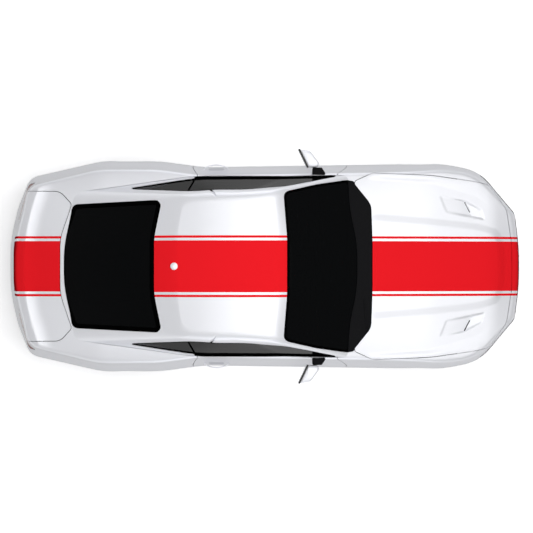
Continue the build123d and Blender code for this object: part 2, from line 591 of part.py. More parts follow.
def wheel_pieces(x, y, width):
    """Tyre and rim of the wheel whose middle is at x, y on the left side."""
    section = [(r, share * width, 10 if 1 < i < 5 else 0) for i, (r, share) in enumerate(TYRE)]
    section = section + [(r, -w, f) for r, w, f in reversed(section)]
    with BuildPart() as tyre:
        with BuildSketch(Plane.XY):
            with BuildLine():
                rounded([(r, w) for r, w, _ in section], [f for _, _, f in section])
            make_face()
        revolve(axis=Axis.Y)
    half = 0.42 * width
    window = prism(SIDE, [(-16, 92, 8), (16, 92, 8), (48, 205, 12), (-48, 205, 12)], -width, width)
    face = rod((0, 0.2 * width, 0), (0, 0.3 * width, 0), RIM_RADIUS - 5) - [
        window.rotate(Axis.Y, 36 * i) for i in range(10)
    ]
    with BuildPart() as rim:
        add(rod((0, -half, 0), (0, half, 0), RIM_RADIUS))
        for side in (1, -1):
            add(rod((0, side * (half + SEAT_GAP), 0), (0, side * (half + 8), 0), RIM_RADIUS + 12))
            add(rod((0, 0, 0), (0, side * (half + 8), 0), RIM_RADIUS - 1))
        add(rod((0, -half - 9, 0), (0, half + 9, 0), RIM_RADIUS - BARREL), mode=Mode.SUBTRACT)
        add(face)
        add(rod((0, -45, 0), (0, 0.3 * width, 0), HUB_RADIUS))
        add(rod((0, -38, 0), (0, -10, 0), DISC_RADIUS))
        add(rod((0, -46, 0), (0, 0.3 * width - 12, 0), BORE_RADIUS), mode=Mode.SUBTRACT)
    place = Pos(x, y, AXLE_Z)
    return place * tyre.part, place * rim.part


for name, x, y, width in (
    ("front", FRONT_AXLE_X, FRONT_WHEEL_Y, FRONT_TYRE_WIDTH),
    ("rear", REAR_AXLE_X, REAR_WHEEL_Y, REAR_TYRE_WIDTH),
):
    tyre, rim = wheel_pieces(x, y, width)
    for side, shapes in (("left", (tyre, rim)), ("right", (tyre.mirror(Plane.XZ), rim.mirror(Plane.XZ)))):
        with BuildPart() as wheel_tyre:
            add(shapes[0])
        write(wheel_tyre, f"tyre_{name}_{side}")
        with BuildPart() as wheel_rim:
            add(shapes[1])
        write(wheel_rim, f"rim_{name}_{side}")

# ---------------------------------------------------------------- suspension and steering
UPRIGHT_Y = 700.0
ARM_TOP_Z = AXLE_Z - 130
strut_y = 612.0
caliper = box((FRONT_AXLE_X - 206, FRONT_AXLE_X - 110), (722, 806), (AXLE_Z - 52, AXLE_Z + 52))
caliper = caliper - rod((FRONT_AXLE_X, 747, AXLE_Z), (FRONT_AXLE_X, 787, AXLE_Z), DISC_RADIUS + 6)
caliper = caliper - rod((FRONT_AXLE_X, 786, AXLE_Z), (FRONT_AXLE_X, 900, AXLE_Z), 130)
with BuildPart() as knuckle_left:
    add(box((FRONT_AXLE_X - 55, FRONT_AXLE_X + 55), (650, UPRIGHT_Y), (ARM_TOP_Z, 470)))
    add(box((FRONT_AXLE_X - 28, FRONT_AXLE_X + 28), (650, 747), (ARM_TOP_Z, ARM_TOP_Z + 25)))
    add(rod((FRONT_AXLE_X, UPRIGHT_Y - 5, AXLE_Z),
            (FRONT_AXLE_X, FRONT_WHEEL_Y + 0.3 * FRONT_TYRE_WIDTH - 20, AXLE_Z), SPINDLE_RADIUS))
    add(box((FRONT_AXLE_X - 25, FRONT_AXLE_X + 25), (590, 655), (430, 470)))
    add(rod((FRONT_AXLE_X, strut_y, 440), (FRONT_AXLE_X, strut_y, TOWER_Z - SEAT_GAP), 26))
    add(box((FRONT_AXLE_X - 190, FRONT_AXLE_X), (680, 730), (AXLE_Z - 30, AXLE_Z + 30)))
    add(rod((FRONT_AXLE_X, 701, AXLE_Z), (FRONT_AXLE_X, 735, AXLE_Z), 90), mode=Mode.SUBTRACT)
    add(rod((FRONT_AXLE_X, 700, AXLE_Z), (FRONT_AXLE_X, 740, AXLE_Z), SPINDLE_RADIUS))
    add(caliper)
write(knuckle_left, "knuckle_left")

with BuildPart() as front_subframe:
    add(box((FRONT_AXLE_X - 60, FRONT_AXLE_X + 60), (-430, 430), (178, 240)))
    for side in (1, -1):
        add(box((FRONT_AXLE_X - 30, FRONT_AXLE_X + 30), (side * 400, side * KINGPIN_Y), (178, 206)))
        add(rod((FRONT_AXLE_X, side * KINGPIN_Y, 178),
                (FRONT_AXLE_X, side * KINGPIN_Y, ARM_TOP_Z - SEAT_GAP), 20))
        add(box((FRONT_AXLE_X - 60, FRONT_AXLE_X + 60), (side * 405, side * 430), (200, 330 - SEAT_GAP)))
        add(box((FRONT_AXLE_X - 60, FRONT_AXLE_X + 60), (side * 180, side * 230), (200, 330 - SEAT_GAP)))
write(front_subframe, "front_subframe")

with BuildPart() as rear_axle:
    add(rod((REAR_AXLE_X, -UPRIGHT_Y, AXLE_Z), (REAR_AXLE_X, UPRIGHT_Y, AXLE_Z), 40))
    add(rod((REAR_AXLE_X - 120, 0, AXLE_Z), (REAR_AXLE_X + 130, 0, AXLE_Z), 105))
    end = REAR_WHEEL_Y + 0.3 * REAR_TYRE_WIDTH - 20
    add(rod((REAR_AXLE_X, -end, AXLE_Z), (REAR_AXLE_X, end, AXLE_Z), SPINDLE_RADIUS))
    for side in (1, -1):
        add(box((REAR_AXLE_X - 30, BULKHEAD_X - 10 - SEAT_GAP), (side * 500, side * 540), (325, 365)))
        add(rod((REAR_AXLE_X, side * 520, AXLE_Z), (REAR_AXLE_X, side * 520, REAR_FLOOR_Z - SEAT_GAP), 45))
write(rear_axle, "rear_axle")

# ---------------------------------------------------------------- engine, shaft, exhaust
GEARBOX_X = 500.0
with BuildPart() as engine:
    add(box((1115, 1700), (-235, 235), (330, 740)))
    add(box((GEARBOX_X, 1115), (-100, 100), (215, 380)))
    fillet(engine.edges().filter_by(Axis.X), 30)
write(engine, "engine")

with BuildPart() as radiator:
    add(box((2060, 2110 - SEAT_GAP), (-370, 370), (320, 680)))
write(radiator, "radiator")

with BuildPart() as driveshaft:
    add(rod((GEARBOX_X - SEAT_GAP - 1, 0, 300), (REAR_AXLE_X + 130 + SEAT_GAP + 8, 0, AXLE_Z - 10), 34))
write(driveshaft, "driveshaft")

with BuildPart() as exhaust:
    for side in (1, -1):
        add(rod((950, side * 250, 163), (-1700, side * 420, 163), 24))
        add(box((MUFFLER_X, -1690), (side * 330, side * 600), (150, BOOT_Z - SEAT_GAP)))
        add(rod((MUFFLER_X + 10, side * TIP_Y, TIP_Z), (-2312, side * TIP_Y, TIP_Z), TIP_RADIUS))
        add(rod((-2270, side * TIP_Y, TIP_Z), (-2336, side * TIP_Y, TIP_Z), TIP_RADIUS - 5),
            mode=Mode.SUBTRACT)
write(exhaust, "exhaust")

# ---------------------------------------------------------------- cabin
COWL_BOX_Z = 850.0
DASH_TOP_Z = COWL_BOX_Z - SEAT_GAP
DASH = ((970, 640, 10), (970, DASH_TOP_Z, 5), (795, DASH_TOP_Z, 5), (790, 890, 20), (560, 895, 60),
        (470, 840, 40), (470, 700, 40), (560, 640, 30))
with BuildPart() as dashboard:
    add(side_prism(DASH, -770, 770))
write(dashboard, "dashboard")

WHEEL_CENTRE = Vector(310, 370, 820)
COLUMN_TILT = 22.0
column = Vector(cos(radians(COLUMN_TILT)), 0, -sin(radians(COLUMN_TILT)))
wheel_plane = Plane(origin=WHEEL_CENTRE, x_dir=(0, 1, 0), z_dir=column)
column_end = (470 - SEAT_GAP - 26 * sin(radians(COLUMN_TILT)) - WHEEL_CENTRE.X) / column.X
with BuildPart() as steering_wheel:
    with BuildSketch(Plane(origin=WHEEL_CENTRE, x_dir=(0, 1, 0), z_dir=Vector(0, 1, 0).cross(column))):
        with Locations((178, 0)):
            Circle(15)
    revolve(axis=Axis(WHEEL_CENTRE, column))
    with BuildSketch(wheel_plane.offset(-8)):
        with Locations((0, 0)):
            Rectangle(352, 40)
        with Locations((0, 84 if wheel_plane.y_dir.Z < 0 else -84)):
            Rectangle(44, 168)
        Circle(58)
    extrude(amount=16)
    add(rod(WHEEL_CENTRE, WHEEL_CENTRE + column * column_end, 26))
write(steering_wheel, "steering_wheel")

SEAT = ((390, 335, 20), (400, 440, 40), (350, 485, 60), (-70, 430, 60), (-240, 1000, 50), (-262, 1150, 40),
        (-330, 1150, 40), (-330, 1010, 50), (-190, 400, 60), (-180, 335, 20))
with BuildPart() as front_seats:
    for side in (1, -1):
        low, high = sorted((side * 175, side * 615))
        add(side_prism(SEAT, low, high))
        add(box((-500, -200), (side * 175, side * 280), (1035, FAR)), mode=Mode.SUBTRACT)
        add(box((-500, -200), (side * 510, side * 615), (1035, FAR)), mode=Mode.SUBTRACT)
        add(box((-150, 350), (side * 220, side * 570), (FLOOR_Z + FLOOR_THICK + SEAT_GAP, 340)))
write(front_seats, "front_seats")

REAR_SEAT = ((-480, FLOOR_Z + FLOOR_THICK + SEAT_GAP, 0), (-470, 440, 50), (-540, 470, 60), (-850, 430, 40),
             (-940, 860, 40), (BULKHEAD_X + SEAT_GAP, 880, 20),
             (BULKHEAD_X + SEAT_GAP, FLOOR_Z + FLOOR_THICK + SEAT_GAP, 0))
tunnel_room = box((-FAR, FAR), (-TUNNEL_Y - SEAT_GAP, TUNNEL_Y + SEAT_GAP), (0, TUNNEL_Z + SEAT_GAP))
rear_seat_form = side_prism(REAR_SEAT, -620, 620) - tunnel_room
with BuildPart() as rear_seat:
    add(rear_seat_form)
write(rear_seat, "rear_seat")

# ---------------------------------------------------------------- right-hand pieces
for piece, name in (
    (fender_left, "fender_right"), (side_left, "side_right"), (door_left, "door_right"),
    (door_glass_left, "door_glass_right"), (mirror_left, "mirror_right"), (knuckle_left, "knuckle_right"),
):
    with BuildPart() as mirrored_piece:
        add(piece.part.mirror(Plane.XZ))
    write(mirrored_piece, name)
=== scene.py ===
# %% [markdown]
# # A white fastback muscle car with red stripes
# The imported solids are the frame. This script gives them paint, glass, rubber and metal, and adds the
# pieces that a solid model leaves out: creased panels, lamps, trim, wheels and cabin.
# Sizes in the tables are millimetres in the car's frame: +X forward, +Y left, +Z up, ground at 0.

import math

import bpy
import numpy as np
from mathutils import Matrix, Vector


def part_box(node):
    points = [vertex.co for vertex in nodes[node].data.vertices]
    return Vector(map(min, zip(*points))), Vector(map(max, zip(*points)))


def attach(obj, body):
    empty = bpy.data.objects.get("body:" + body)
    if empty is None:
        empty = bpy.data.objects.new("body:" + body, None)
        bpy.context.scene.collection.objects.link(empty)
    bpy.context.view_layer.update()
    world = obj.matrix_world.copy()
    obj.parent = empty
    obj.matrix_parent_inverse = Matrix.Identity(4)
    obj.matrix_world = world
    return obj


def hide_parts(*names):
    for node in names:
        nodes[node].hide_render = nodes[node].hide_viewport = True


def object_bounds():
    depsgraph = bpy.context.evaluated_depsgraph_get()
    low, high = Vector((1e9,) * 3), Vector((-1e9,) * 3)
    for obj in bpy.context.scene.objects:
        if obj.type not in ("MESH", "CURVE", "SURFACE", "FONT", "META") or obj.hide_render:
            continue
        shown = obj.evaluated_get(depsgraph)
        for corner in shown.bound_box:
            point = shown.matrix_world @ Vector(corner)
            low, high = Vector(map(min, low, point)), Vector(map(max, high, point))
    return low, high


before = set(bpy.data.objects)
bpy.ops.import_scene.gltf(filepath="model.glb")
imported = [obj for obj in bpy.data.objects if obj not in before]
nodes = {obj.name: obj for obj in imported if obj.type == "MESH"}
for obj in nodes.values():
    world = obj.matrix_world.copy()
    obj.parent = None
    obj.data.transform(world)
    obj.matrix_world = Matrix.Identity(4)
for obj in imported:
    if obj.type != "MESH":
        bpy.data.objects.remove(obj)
cad_box = [[float(v) for v in corner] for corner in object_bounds()]
print("frame:", len(nodes), "nodes, box", cad_box)

# %% [markdown]
# ## Materials
# Colours are written as sRGB hex and turned into linear values by one function. Patterns are laid out in
# object coordinates, which are metres on the car itself, so stripes stay where they are when a panel opens.

# %% Colours and node helpers


def linear(hex_colour):
    """sRGB hex to linear RGBA: a channel c is c/12.92 below 0.04045 and ((c+0.055)/1.055)^2.4 above."""
    channels = np.array([int(hex_colour[i : i + 2], 16) / 255 for i in (1, 3, 5)])
    lin = np.where(channels <= 0.04045, channels / 12.92, ((channels + 0.055) / 1.055) ** 2.4)
    return (*[float(v) for v in lin], 1.0)


def node(tree, kind, inputs=None, **settings):
    """Adds one shader node, sets its properties and its inputs; an input given as a socket is linked."""
    made = tree.nodes.new(kind)
    for key, value in settings.items():
        setattr(made, key, value)
    for key, value in (inputs or {}).items():
        if isinstance(value, bpy.types.NodeSocket):
            tree.links.new(value, made.inputs[key])
        else:
            made.inputs[key].default_value = value
    return made


def material(name, colour, roughness, metallic=0.0, **extra):
    """A Principled material; extra holds more of the shader's own sockets by their names."""
    mat = bpy.data.materials.new(name)
    mat.use_nodes = True
    shader = mat.node_tree.nodes["Principled BSDF"]
    shader.inputs["Base Color"].default_value = linear(colour)
    shader.inputs["Roughness"].default_value = roughness
    shader.inputs["Metallic"].default_value = metallic
    for key, value in extra.items():
        shader.inputs[key.replace("_", " ")].default_value = value
    mat.diffuse_color = linear(colour)
    return mat, mat.node_tree, shader


GRAIN_DEPTH = 0.0005  # metres


def grain(tree, shader, scale, strength, colours=None):
    """Fine noise in object space, scale cycles to the metre: it bumps the surface and can vary its colour."""
    place = node(tree, "ShaderNodeTexCoord")
    noise = node(tree, "ShaderNodeTexNoise", {"Vector": place.outputs["Object"], "Scale": scale,
                                              "Detail": 4.0})
    bump = node(tree, "ShaderNodeBump", {"Height": noise.outputs["Fac"], "Strength": strength,
                                         "Distance": GRAIN_DEPTH})
    tree.links.new(bump.outputs["Normal"], shader.inputs["Normal"])
    if colours:
        ramp = node(tree, "ShaderNodeValToRGB", {"Fac": noise.outputs["Fac"]})
        for element, (position, colour) in zip(ramp.color_ramp.elements, colours):
            element.position, element.color = position, linear(colour)
        tree.links.new(ramp.outputs["Color"], shader.inputs["Base Color"])


def finish(name, colour, roughness, metallic=0.0, grained=None, colours=None, alpha=1.0, **extra):
    """A material that is the same all over, but for the grain: its scale and strength, and two colours."""
    mat, tree, shader = material(name, colour, roughness, metallic, **extra)
    shader.inputs["Alpha"].default_value = alpha
    if grained:
        grain(tree, shader, *grained, colours=colours)
    return mat


# %% Paint, with and without the stripes
WHITE, RED = "#f5f6fa", "#dc1b23"
STRIPE_EDGES = (0.228, 0.251, 0.272)  # metres from the centre line: red, gap, thin red line


def paint(name, striped):
    """Pearl paint: half flake, half mottled white, under a clear coat; striped paint is red in the middle."""
    mat, tree, shader = material(name, WHITE, 0.36, 0.5, Coat_Weight=0.3, Coat_Roughness=0.04,
                                 Specular_IOR_Level=0.12)
    place = node(tree, "ShaderNodeTexCoord")
    flake = node(tree, "ShaderNodeTexNoise", {"Vector": place.outputs["Object"], "Scale": 900.0,
                                              "Detail": 2.0})
    base = node(tree, "ShaderNodeMix", {0: flake.outputs["Fac"], 6: linear(WHITE), 7: linear("#eff0f5")},
                data_type="RGBA")
    colour = base.outputs[2]
    if striped:
        xyz = node(tree, "ShaderNodeSeparateXYZ", {0: place.outputs["Object"]})
        side = node(tree, "ShaderNodeMath", {0: xyz.outputs["Y"]}, operation="ABSOLUTE").outputs[0]
        inner, gap, outer = (
            node(tree, "ShaderNodeMath", {0: side, 1: edge}, operation="LESS_THAN").outputs[0]
            for edge in STRIPE_EDGES
        )
        line = node(tree, "ShaderNodeMath", {0: outer, 1: gap}, operation="SUBTRACT").outputs[0]
        red = node(tree, "ShaderNodeMath", {0: inner, 1: line}, operation="ADD").outputs[0]
        colour = node(tree, "ShaderNodeMix", {0: red, 6: colour, 7: linear(RED)}, data_type="RGBA").outputs[2]
        for socket in ("Metallic", "Coat Weight", "Specular IOR Level"):  # the red is a flat matt film
            full = shader.inputs[socket].default_value
            part = node(tree, "ShaderNodeMath", {0: red, 1: -full, 2: full}, operation="MULTIPLY_ADD")
            tree.links.new(part.outputs[0], shader.inputs[socket])
    tree.links.new(colour, shader.inputs["Base Color"])
    return mat


white_paint = paint("white_paint", False)  # clear-coated white
striped_paint = paint("striped_paint", True)  # the same with red stripes

# %% Glass, rubber, plastics and metals
glass = finish("tinted_glass", "#060708", 0.02, Specular_IOR_Level=0.12, alpha=0.82)
side_tint = finish("side_glass", "#08090a", 0.03, Specular_IOR_Level=0.12, alpha=0.85)
# fired-on border of the glass
glass_black = finish("glass_edge_black", "#030303", 0.5, Specular_IOR_Level=0.0, grained=(300.0, 0.02))
# grained plastic
black_plastic = finish("black_plastic", "#0b0b0c", 0.6, Specular_IOR_Level=0.1, grained=(1400.0, 0.25),
                       colours=((0.3, "#080809"), (0.7, "#101012")))
gloss_black = finish("gloss_black", "#070708", 0.12, Coat_Weight=0.6, grained=(200.0, 0.01))
# primed sheet steel
shell_steel = finish("shell_steel", "#232428", 0.55, grained=(120.0, 0.1),
                     colours=((0.35, "#1d1e21"), (0.65, "#2a2b30")))
chassis_steel = finish("chassis_steel", "#17181a", 0.45, 0.6, grained=(220.0, 0.2),
                       colours=((0.35, "#121314"), (0.7, "#1f2022")))
cast_iron = finish("cast_iron", "#4a4a4c", 0.6, 0.8, grained=(500.0, 0.4),
                   colours=((0.35, "#3c3c3e"), (0.65, "#58585a")))
engine_metal = finish("cast_engine", "#7d7e81", 0.5, 0.8, grained=(260.0, 0.3),
                      colours=((0.35, "#66676a"), (0.7, "#909195")))
exhaust_steel = finish("exhaust_steel", "#9a9792", 0.3, 1.0, grained=(90.0, 0.05),
                       colours=((0.35, "#857f78"), (0.65, "#aaa7a2")))
tyre_rubber = finish("tyre_rubber", "#131314", 0.75, grained=(700.0, 0.3),
                     colours=((0.3, "#0f0f10"), (0.7, "#1a1a1b")))
alloy = finish("wheel_alloy", "#3b3c40", 0.28, 0.9, Coat_Weight=0.5, grained=(600.0, 0.06),
               colours=((0.3, "#34353a"), (0.7, "#43444a")))
brake_steel = finish("brake_steel", "#8b8c8e", 0.35, 1.0, grained=(350.0, 0.1),
                     colours=((0.3, "#7c7d80"), (0.7, "#97989b")))
# enamelled iron
caliper_red = finish("caliper_paint", "#8e1015", 0.4, Coat_Weight=0.3, grained=(300.0, 0.08))
chrome = finish("bright_metal", "#c9cace", 0.12, 1.0, grained=(250.0, 0.02))
bright_edge = finish("machined_edge", "#8e9096", 0.22, 1.0, grained=(420.0, 0.05))
leather = finish("seat_leather", "#161617", 0.5, Sheen_Weight=0.1, grained=(900.0, 0.35),
                 colours=((0.3, "#111112"), (0.7, "#1d1d1f")))
dash_vinyl = finish("dash_vinyl", "#141415", 0.65, Specular_IOR_Level=0.3, grained=(1100.0, 0.45),
                    colours=((0.3, "#101011"), (0.7, "#1a1a1c")))
leather_gloss = finish("shifter_leather", "#121213", 0.3, grained=(800.0, 0.2))
lamp_glass = finish("headlamp_lens", "#c9cdd3", 0.05, Coat_Weight=1.0, alpha=0.35)
red_lens = finish("tail_lamp_lens", "#9c060b", 0.12, Coat_Weight=0.25, Specular_IOR_Level=0.2,
                  grained=(150.0, 0.03))
bowl_black = finish("lamp_bowl_black", "#1b1c1e", 0.35, 0.3, grained=(180.0, 0.03))
lens_clear = finish("projector_lens", "#dfe4ea", 0.03, Coat_Weight=1.0, grained=(60.0, 0.01))
# painted shade: a light grey that stands for the shade inside the door handle's recess
shadow_grey = finish("handle_cup_painted_shade", "#dcdde3", 0.5, Coat_Weight=0.2, grained=(400.0, 0.03))
# painted sheet aluminium
plate_white = finish("plate_blank", "#d6d8db", 0.45, grained=(300.0, 0.03))
print("materials:", len(bpy.data.materials))

# %% [markdown]
# ## Carried-over solids
# Every solid that stays in view gets the material of what it is.

# %% Materials on the solids
DRESS = {
    white_paint: ("fender_left", "fender_right", "side_left", "side_right", "door_left", "door_right",
                  "mirror_left",
                  "mirror_right", "roof_antenna"),
    striped_paint: ("hood", "trunk_lid", "front_bumper", "rear_bumper", "roof"),
    glass: ("windshield", "rear_window", "door_glass_left", "door_glass_right", "quarter_glass"),
    black_plastic: ("cowl", "grille", "dashboard", "door_seals"),
    shell_steel: ("unibody",),
    chassis_steel: ("front_subframe", "rear_axle", "driveshaft", "radiator"),
    cast_iron: ("knuckle_left", "knuckle_right"),
    engine_metal: ("engine",),
    exhaust_steel: ("exhaust",),
    tyre_rubber: tuple(f"tyre_{end}_{side}" for end in ("front", "rear") for side in ("left", "right")),
    alloy: tuple(f"rim_{end}_{side}" for end in ("front", "rear") for side in ("left", "right")),
    leather: ("steering_wheel", "front_seats", "rear_seat"),
    lamp_glass: ("headlamps",),
    red_lens: ("tail_lamps",),
}
for mat, names in DRESS.items():
    for name in names:
        nodes[name].data.materials.clear()
        nodes[name].data.materials.append(mat)

# %% [markdown]
# ## Tables of the body
# The driving sizes come from the frame: the length between the bumpers, the width over the rear haunches and
# the axles from the tyres. Several outlines below are placed from them.

# %% Driving sizes
low, high = (np.array(v) * 1000 for v in cad_box)
NOSE_X, TAIL_X = float(high[0]), float(low[0])


def middle(name):
    """Middle of a CAD node's box, in millimetres."""
    a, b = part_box(name)
    return (np.array(a) + np.array(b)) * 500


FRONT_AXLE_X, _, AXLE_Z = (float(v) for v in middle("tyre_front_left"))
REAR_AXLE_X = float(middle("tyre_rear_left")[0])
HALF_WIDTH = float(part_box("side_left")[1][1]) * 1000
SKIN, SHUT_GAP, SEAM, GLASS_GAP = 14.0, 6.0, 3.0, 2.0
SHOULDER = 34.0  # reach of the round edge between a side and the top
FRONT_ARCH, REAR_ARCH = 390.0, 385.0
SILL_Z, SILL_TOP_Z, DOOR_TOP_Z = 165.0, 228.0, 1100.0
DOOR_FRONT_X, DOOR_REAR_X = 757.0, -661.0
FAR = 3000.0

# %% Outlines of the two forms
# columns: reference, distance from it, HALF_WIDTH less the half width, corner radius, share of the setback
PLAN = (
    ("nose", 0, 797, 2300, 1.0), ("nose", 40, 485, 110, 1.0), ("nose", 380, 93, 420, 0.5),
    ("nose", 740, 24, 1200, 0.0), ("rear axle", 720, 57, 1300, 0.0), ("rear axle", 320, 3, 1300, 0.0),
    ("rear axle", -220, -2, 900, 0.0), ("tail", 187, 155, 150, 0.5), ("tail", 74, 417, 1000, 1.0),
    ("tail", 0, 737, 1300, 1.0),
)
# columns: height, inset of the sides, setback of the nose, setback of the tail
WALL = (
    (SILL_Z, 70, 105, 150), (320, 22, 16, 30), (540, 1, 0, 0), (740, 8, 48, 62), (930, 84, 190, 112),
    (1060, 104, 330, 140),
)
DECK_Y = (0, 450, 800, 1010)
# columns: x, heights at the four DECK_Y, radius
DECK = (
    (TAIL_X - 100, (985, 985, 965, 930), 0), (TAIL_X + 212, (1015, 1012, 992, 950), 150),
    (REAR_AXLE_X - 220, (1055, 1050, 1010, 955), 2000), (0, (1040, 1030, 962, 925), 2500),
    (900, (1003, 998, 962, 925), 1500), (FRONT_AXLE_X + 60, (935, 925, 912, 880), 3000),
    (NOSE_X - 290, (826, 814, 805, 780), 800), (NOSE_X + 100, (672, 676, 690, 690), 0),
)
GLASS_FOOT_Z, GLASS_TOP_Z = 900.0, 1420.0
# columns: foot x, foot y, top x, top y, corner radius
GREENHOUSE = (
    (1036, 250, 69, 200, 1200), (853, 852, 9, 656, 70), (250, 841, -150, 641, 2500),
    (-700, 851, -380, 627, 2500), (-2120, 689, -498, 612, 180), (-2244, 200, -594, 200, 1200),
)
ROOF_LINE = ((700, 1325, 0), (-220, 1412, 4000), (-1700, 1262, 0))
ROOF_Y = (0, 350, 600, 740)
ROOF_FALL = (0, 12, 42, 100)

# %% Shut lines, lamps and glass
# Seen from above: x, half width, corner radius.
HOOD = (
    (2290, 200, 900), (2238, 522, 150), (2069, 752, 60), (1913, 780, 600), (1530, 830, 1500),
    (985, 850, 40), (802, 767, 30), (968, 560, 150), (978, 200, 900),
)
COWL = ((1010, 300, 0), (1010, 560, 0), (806, 774, 0), (600, 812, 0))
LID = ((-1848, 250, 500), (-1742, 562, 40), (-1850, 678, 110), (-2500, 682, 0))
WINDSHIELD = ((1100, 300, 0), (1100, 800, 0), (730, 782, 60), (467, 736, 400), (168, 658, 60),
              (200, 250, 900))
REAR_WINDOW = ((-975, 250, 700), (-905, 590, 50), (-1728, 560, 60), (-1842, 250, 500))
# Seen from behind or in front: half width, height, corner radius.
LID_FACE = ((690, 1200, 0), (690, 942, 20), (412, 928, 30), (388, 790, 30))
HEADLAMP = ((470, 660, 20), (500, 722, 20), (790, 752, 15), (850, 742, 15), (830, 690, 20), (640, 655, 30))
TAIL_LAMP = ((425, 800, 15), (430, 900, 20), (700, 915, 20), (770, 895, 25), (755, 815, 20))
GRILLE_UPPER = ((440, 612, 30), (458, 690, 30), (420, 706, 20))
GRILLE_LOWER = ((560, 252, 30), (620, 330, 40), (560, 420, 30))
# Seen from behind: the recess of the plate, the black valance under the bumper and its reflectors.
PLATE = ((176, 390, 16), (176, 556, 16))
VALANCE = ((720, 100, 0), (700, 215, 30), (600, 305, 50))
REFLECTOR = ((560, 338, 8), (760, 352, 8), (760, 376, 8), (560, 364, 8))
CENTRED = (GRILLE_UPPER, GRILLE_LOWER, PLATE, VALANCE)  # these run across the car as one
TIP_Y, TIP_Z, TIP_RADIUS, TIP_END_X = 500.0, 235.0, 46.0, TAIL_X + 74  # exhaust tips
# Seen from the side: x, height, corner radius.
NOSE_SEAM = (
    (FRONT_AXLE_X, AXLE_Z, 0), (1700, 597, 60), (1990, 651, 80), (2062, 765, 40), (2078, 1100, 0),
)
TAIL_SEAM = (
    (REAR_AXLE_X, AXLE_Z, 0), (-1560, 560, 60), (-2060, 640, 80), (-2225, 762, 40), (-2600, 770, 0),
)
DOOR = (
    (DOOR_FRONT_X, SILL_TOP_Z, 60), (DOOR_FRONT_X, 800, 120), (DOOR_FRONT_X - 97, 960, 40),
    (DOOR_FRONT_X - 102, DOOR_TOP_Z, 0), (DOOR_REAR_X + 61, DOOR_TOP_Z, 0), (DOOR_REAR_X + 49, 950, 60),
    (DOOR_REAR_X, 790, 200), (DOOR_REAR_X + 21, 420, 200), (DOOR_REAR_X + 71, SILL_TOP_Z, 70),
)
SIDE_WINDOW = (
    (650, 860, 0), (643, 1002, 15), (190, 1268, 350), (-180, 1318, 900), (-620, 1296, 900),
    (-1180, 1110, 60), (-1215, 1066, 20), (-900, 1035, 60), (-640, 1012, 20), (-612, 860, 0),
)
BELT_TUCK, BELT_BAND = 12.0, 50.0  # how far the glass runs below the belt, and its black band above it
RAIL_SLOPE = 1.15  # rise of the roof rail for each millimetre inward
DIVIDER, DIVIDER_GAP = ((-602, GLASS_FOOT_Z), (-690, 1330)), 10.0
print("length", round(NOSE_X - TAIL_X), "half width", round(HALF_WIDTH), "axles", round(FRONT_AXLE_X),
      round(REAR_AXLE_X))

# %% Creases on the deck
# Hood dome: raised inside this outline; its slope is half inside and half outside the line.
DOME = (
    (2190, 150, 900), (2140, 310, 90), (1970, 362, 900), (1500, 410, 2000), (990, 446, 40), (985, 200, 900),
)
DOME_RISE, DOME_SLOPE = 10.0, 62.0
# Fender ridge: x, half width where the slope up to it begins and ends. It fades in and out along RIDGE_REACH.
RIDGE = ((1054, 787, 821), (1500, 763, 801), (1947, 640, 750), (2060, 560, 720))
RIDGE_RISE, RIDGE_REACH = 14.0, (940, 1060, 1960, 2120)
# Lip at the tail: its crest on the centre line and how far the crest has come forward at LIP_CORNER_Y.
LIP_X, LIP_FORWARD, LIP_CORNER_Y = TAIL_X + 215, 124.0, 678.0
LIP_RISE, LIP_RUN = 16.0, 130.0
# Hood vents on the left: outline of the recess and of the slot in it, x, y, radius.
VENT = ((1592, 654, 15), (1660, 490, 25), (2029, 422, 12), (2002, 522, 25), (1838, 604, 200))
VENT_SLOT = ((1826, 598, 4), (1882, 494, 4), (1896, 491, 4), (1840, 594, 4))
VENT_DEPTH, VENT_EDGE = 14.0, 16.0

# %% [markdown]
# ## Outlines and surfaces
# An outline is a list of corners joined by lines and tangent arcs. The body is two closed forms: walls
# between outlines at several heights, closed by a top surface and joined to it by a round shoulder.

# %% Lines with round corners


def rounded(points, radii, steps=10):
    """Lines joined by tangent arcs: an arc of radius r that turns by 2h starts r tan(h) from its corner."""
    corner = np.array(points, float)
    before, after = np.roll(corner, 1, 0) - corner, np.roll(corner, -1, 0) - corner
    room = 0.96 * np.linalg.norm(after, axis=1)
    before /= np.linalg.norm(before, axis=1)[:, None]
    after /= np.linalg.norm(after, axis=1)[:, None]
    half = (np.pi - np.arccos(np.clip((before * after).sum(1), -1, 1))) / 2
    reach = np.array(radii, float) * np.tan(half)
    share = np.minimum(room / np.maximum(1e-6, reach + np.roll(reach, -1)), 1)
    reach = reach * np.minimum(share, np.roll(share, 1))
    middle, across = before + after, after - before
    middle /= np.maximum(1e-9, np.linalg.norm(middle, axis=1))[:, None]
    across /= np.linalg.norm(across, axis=1)[:, None]
    radius = reach / np.tan(np.maximum(half, 1e-6))
    centre = corner + middle * (radius / np.cos(half))[:, None]
    angle = np.linspace(-1, 1, steps + 1)[None, :, None] * half[:, None, None]
    spoke = radius[:, None, None]
    line = centre[:, None] - middle[:, None] * spoke * np.cos(angle) + across[:, None] * spoke * np.sin(angle)
    return line.reshape(-1, 2)


def mirrored(rows):
    """Corners and radii of a closed outline from (a, b, radius) rows at b above 0, front to back."""
    whole = list(rows) + [(a, -b, r) for a, b, r in reversed(rows)]
    return [(a, b) for a, b, _ in whole], [r for _, _, r in whole]


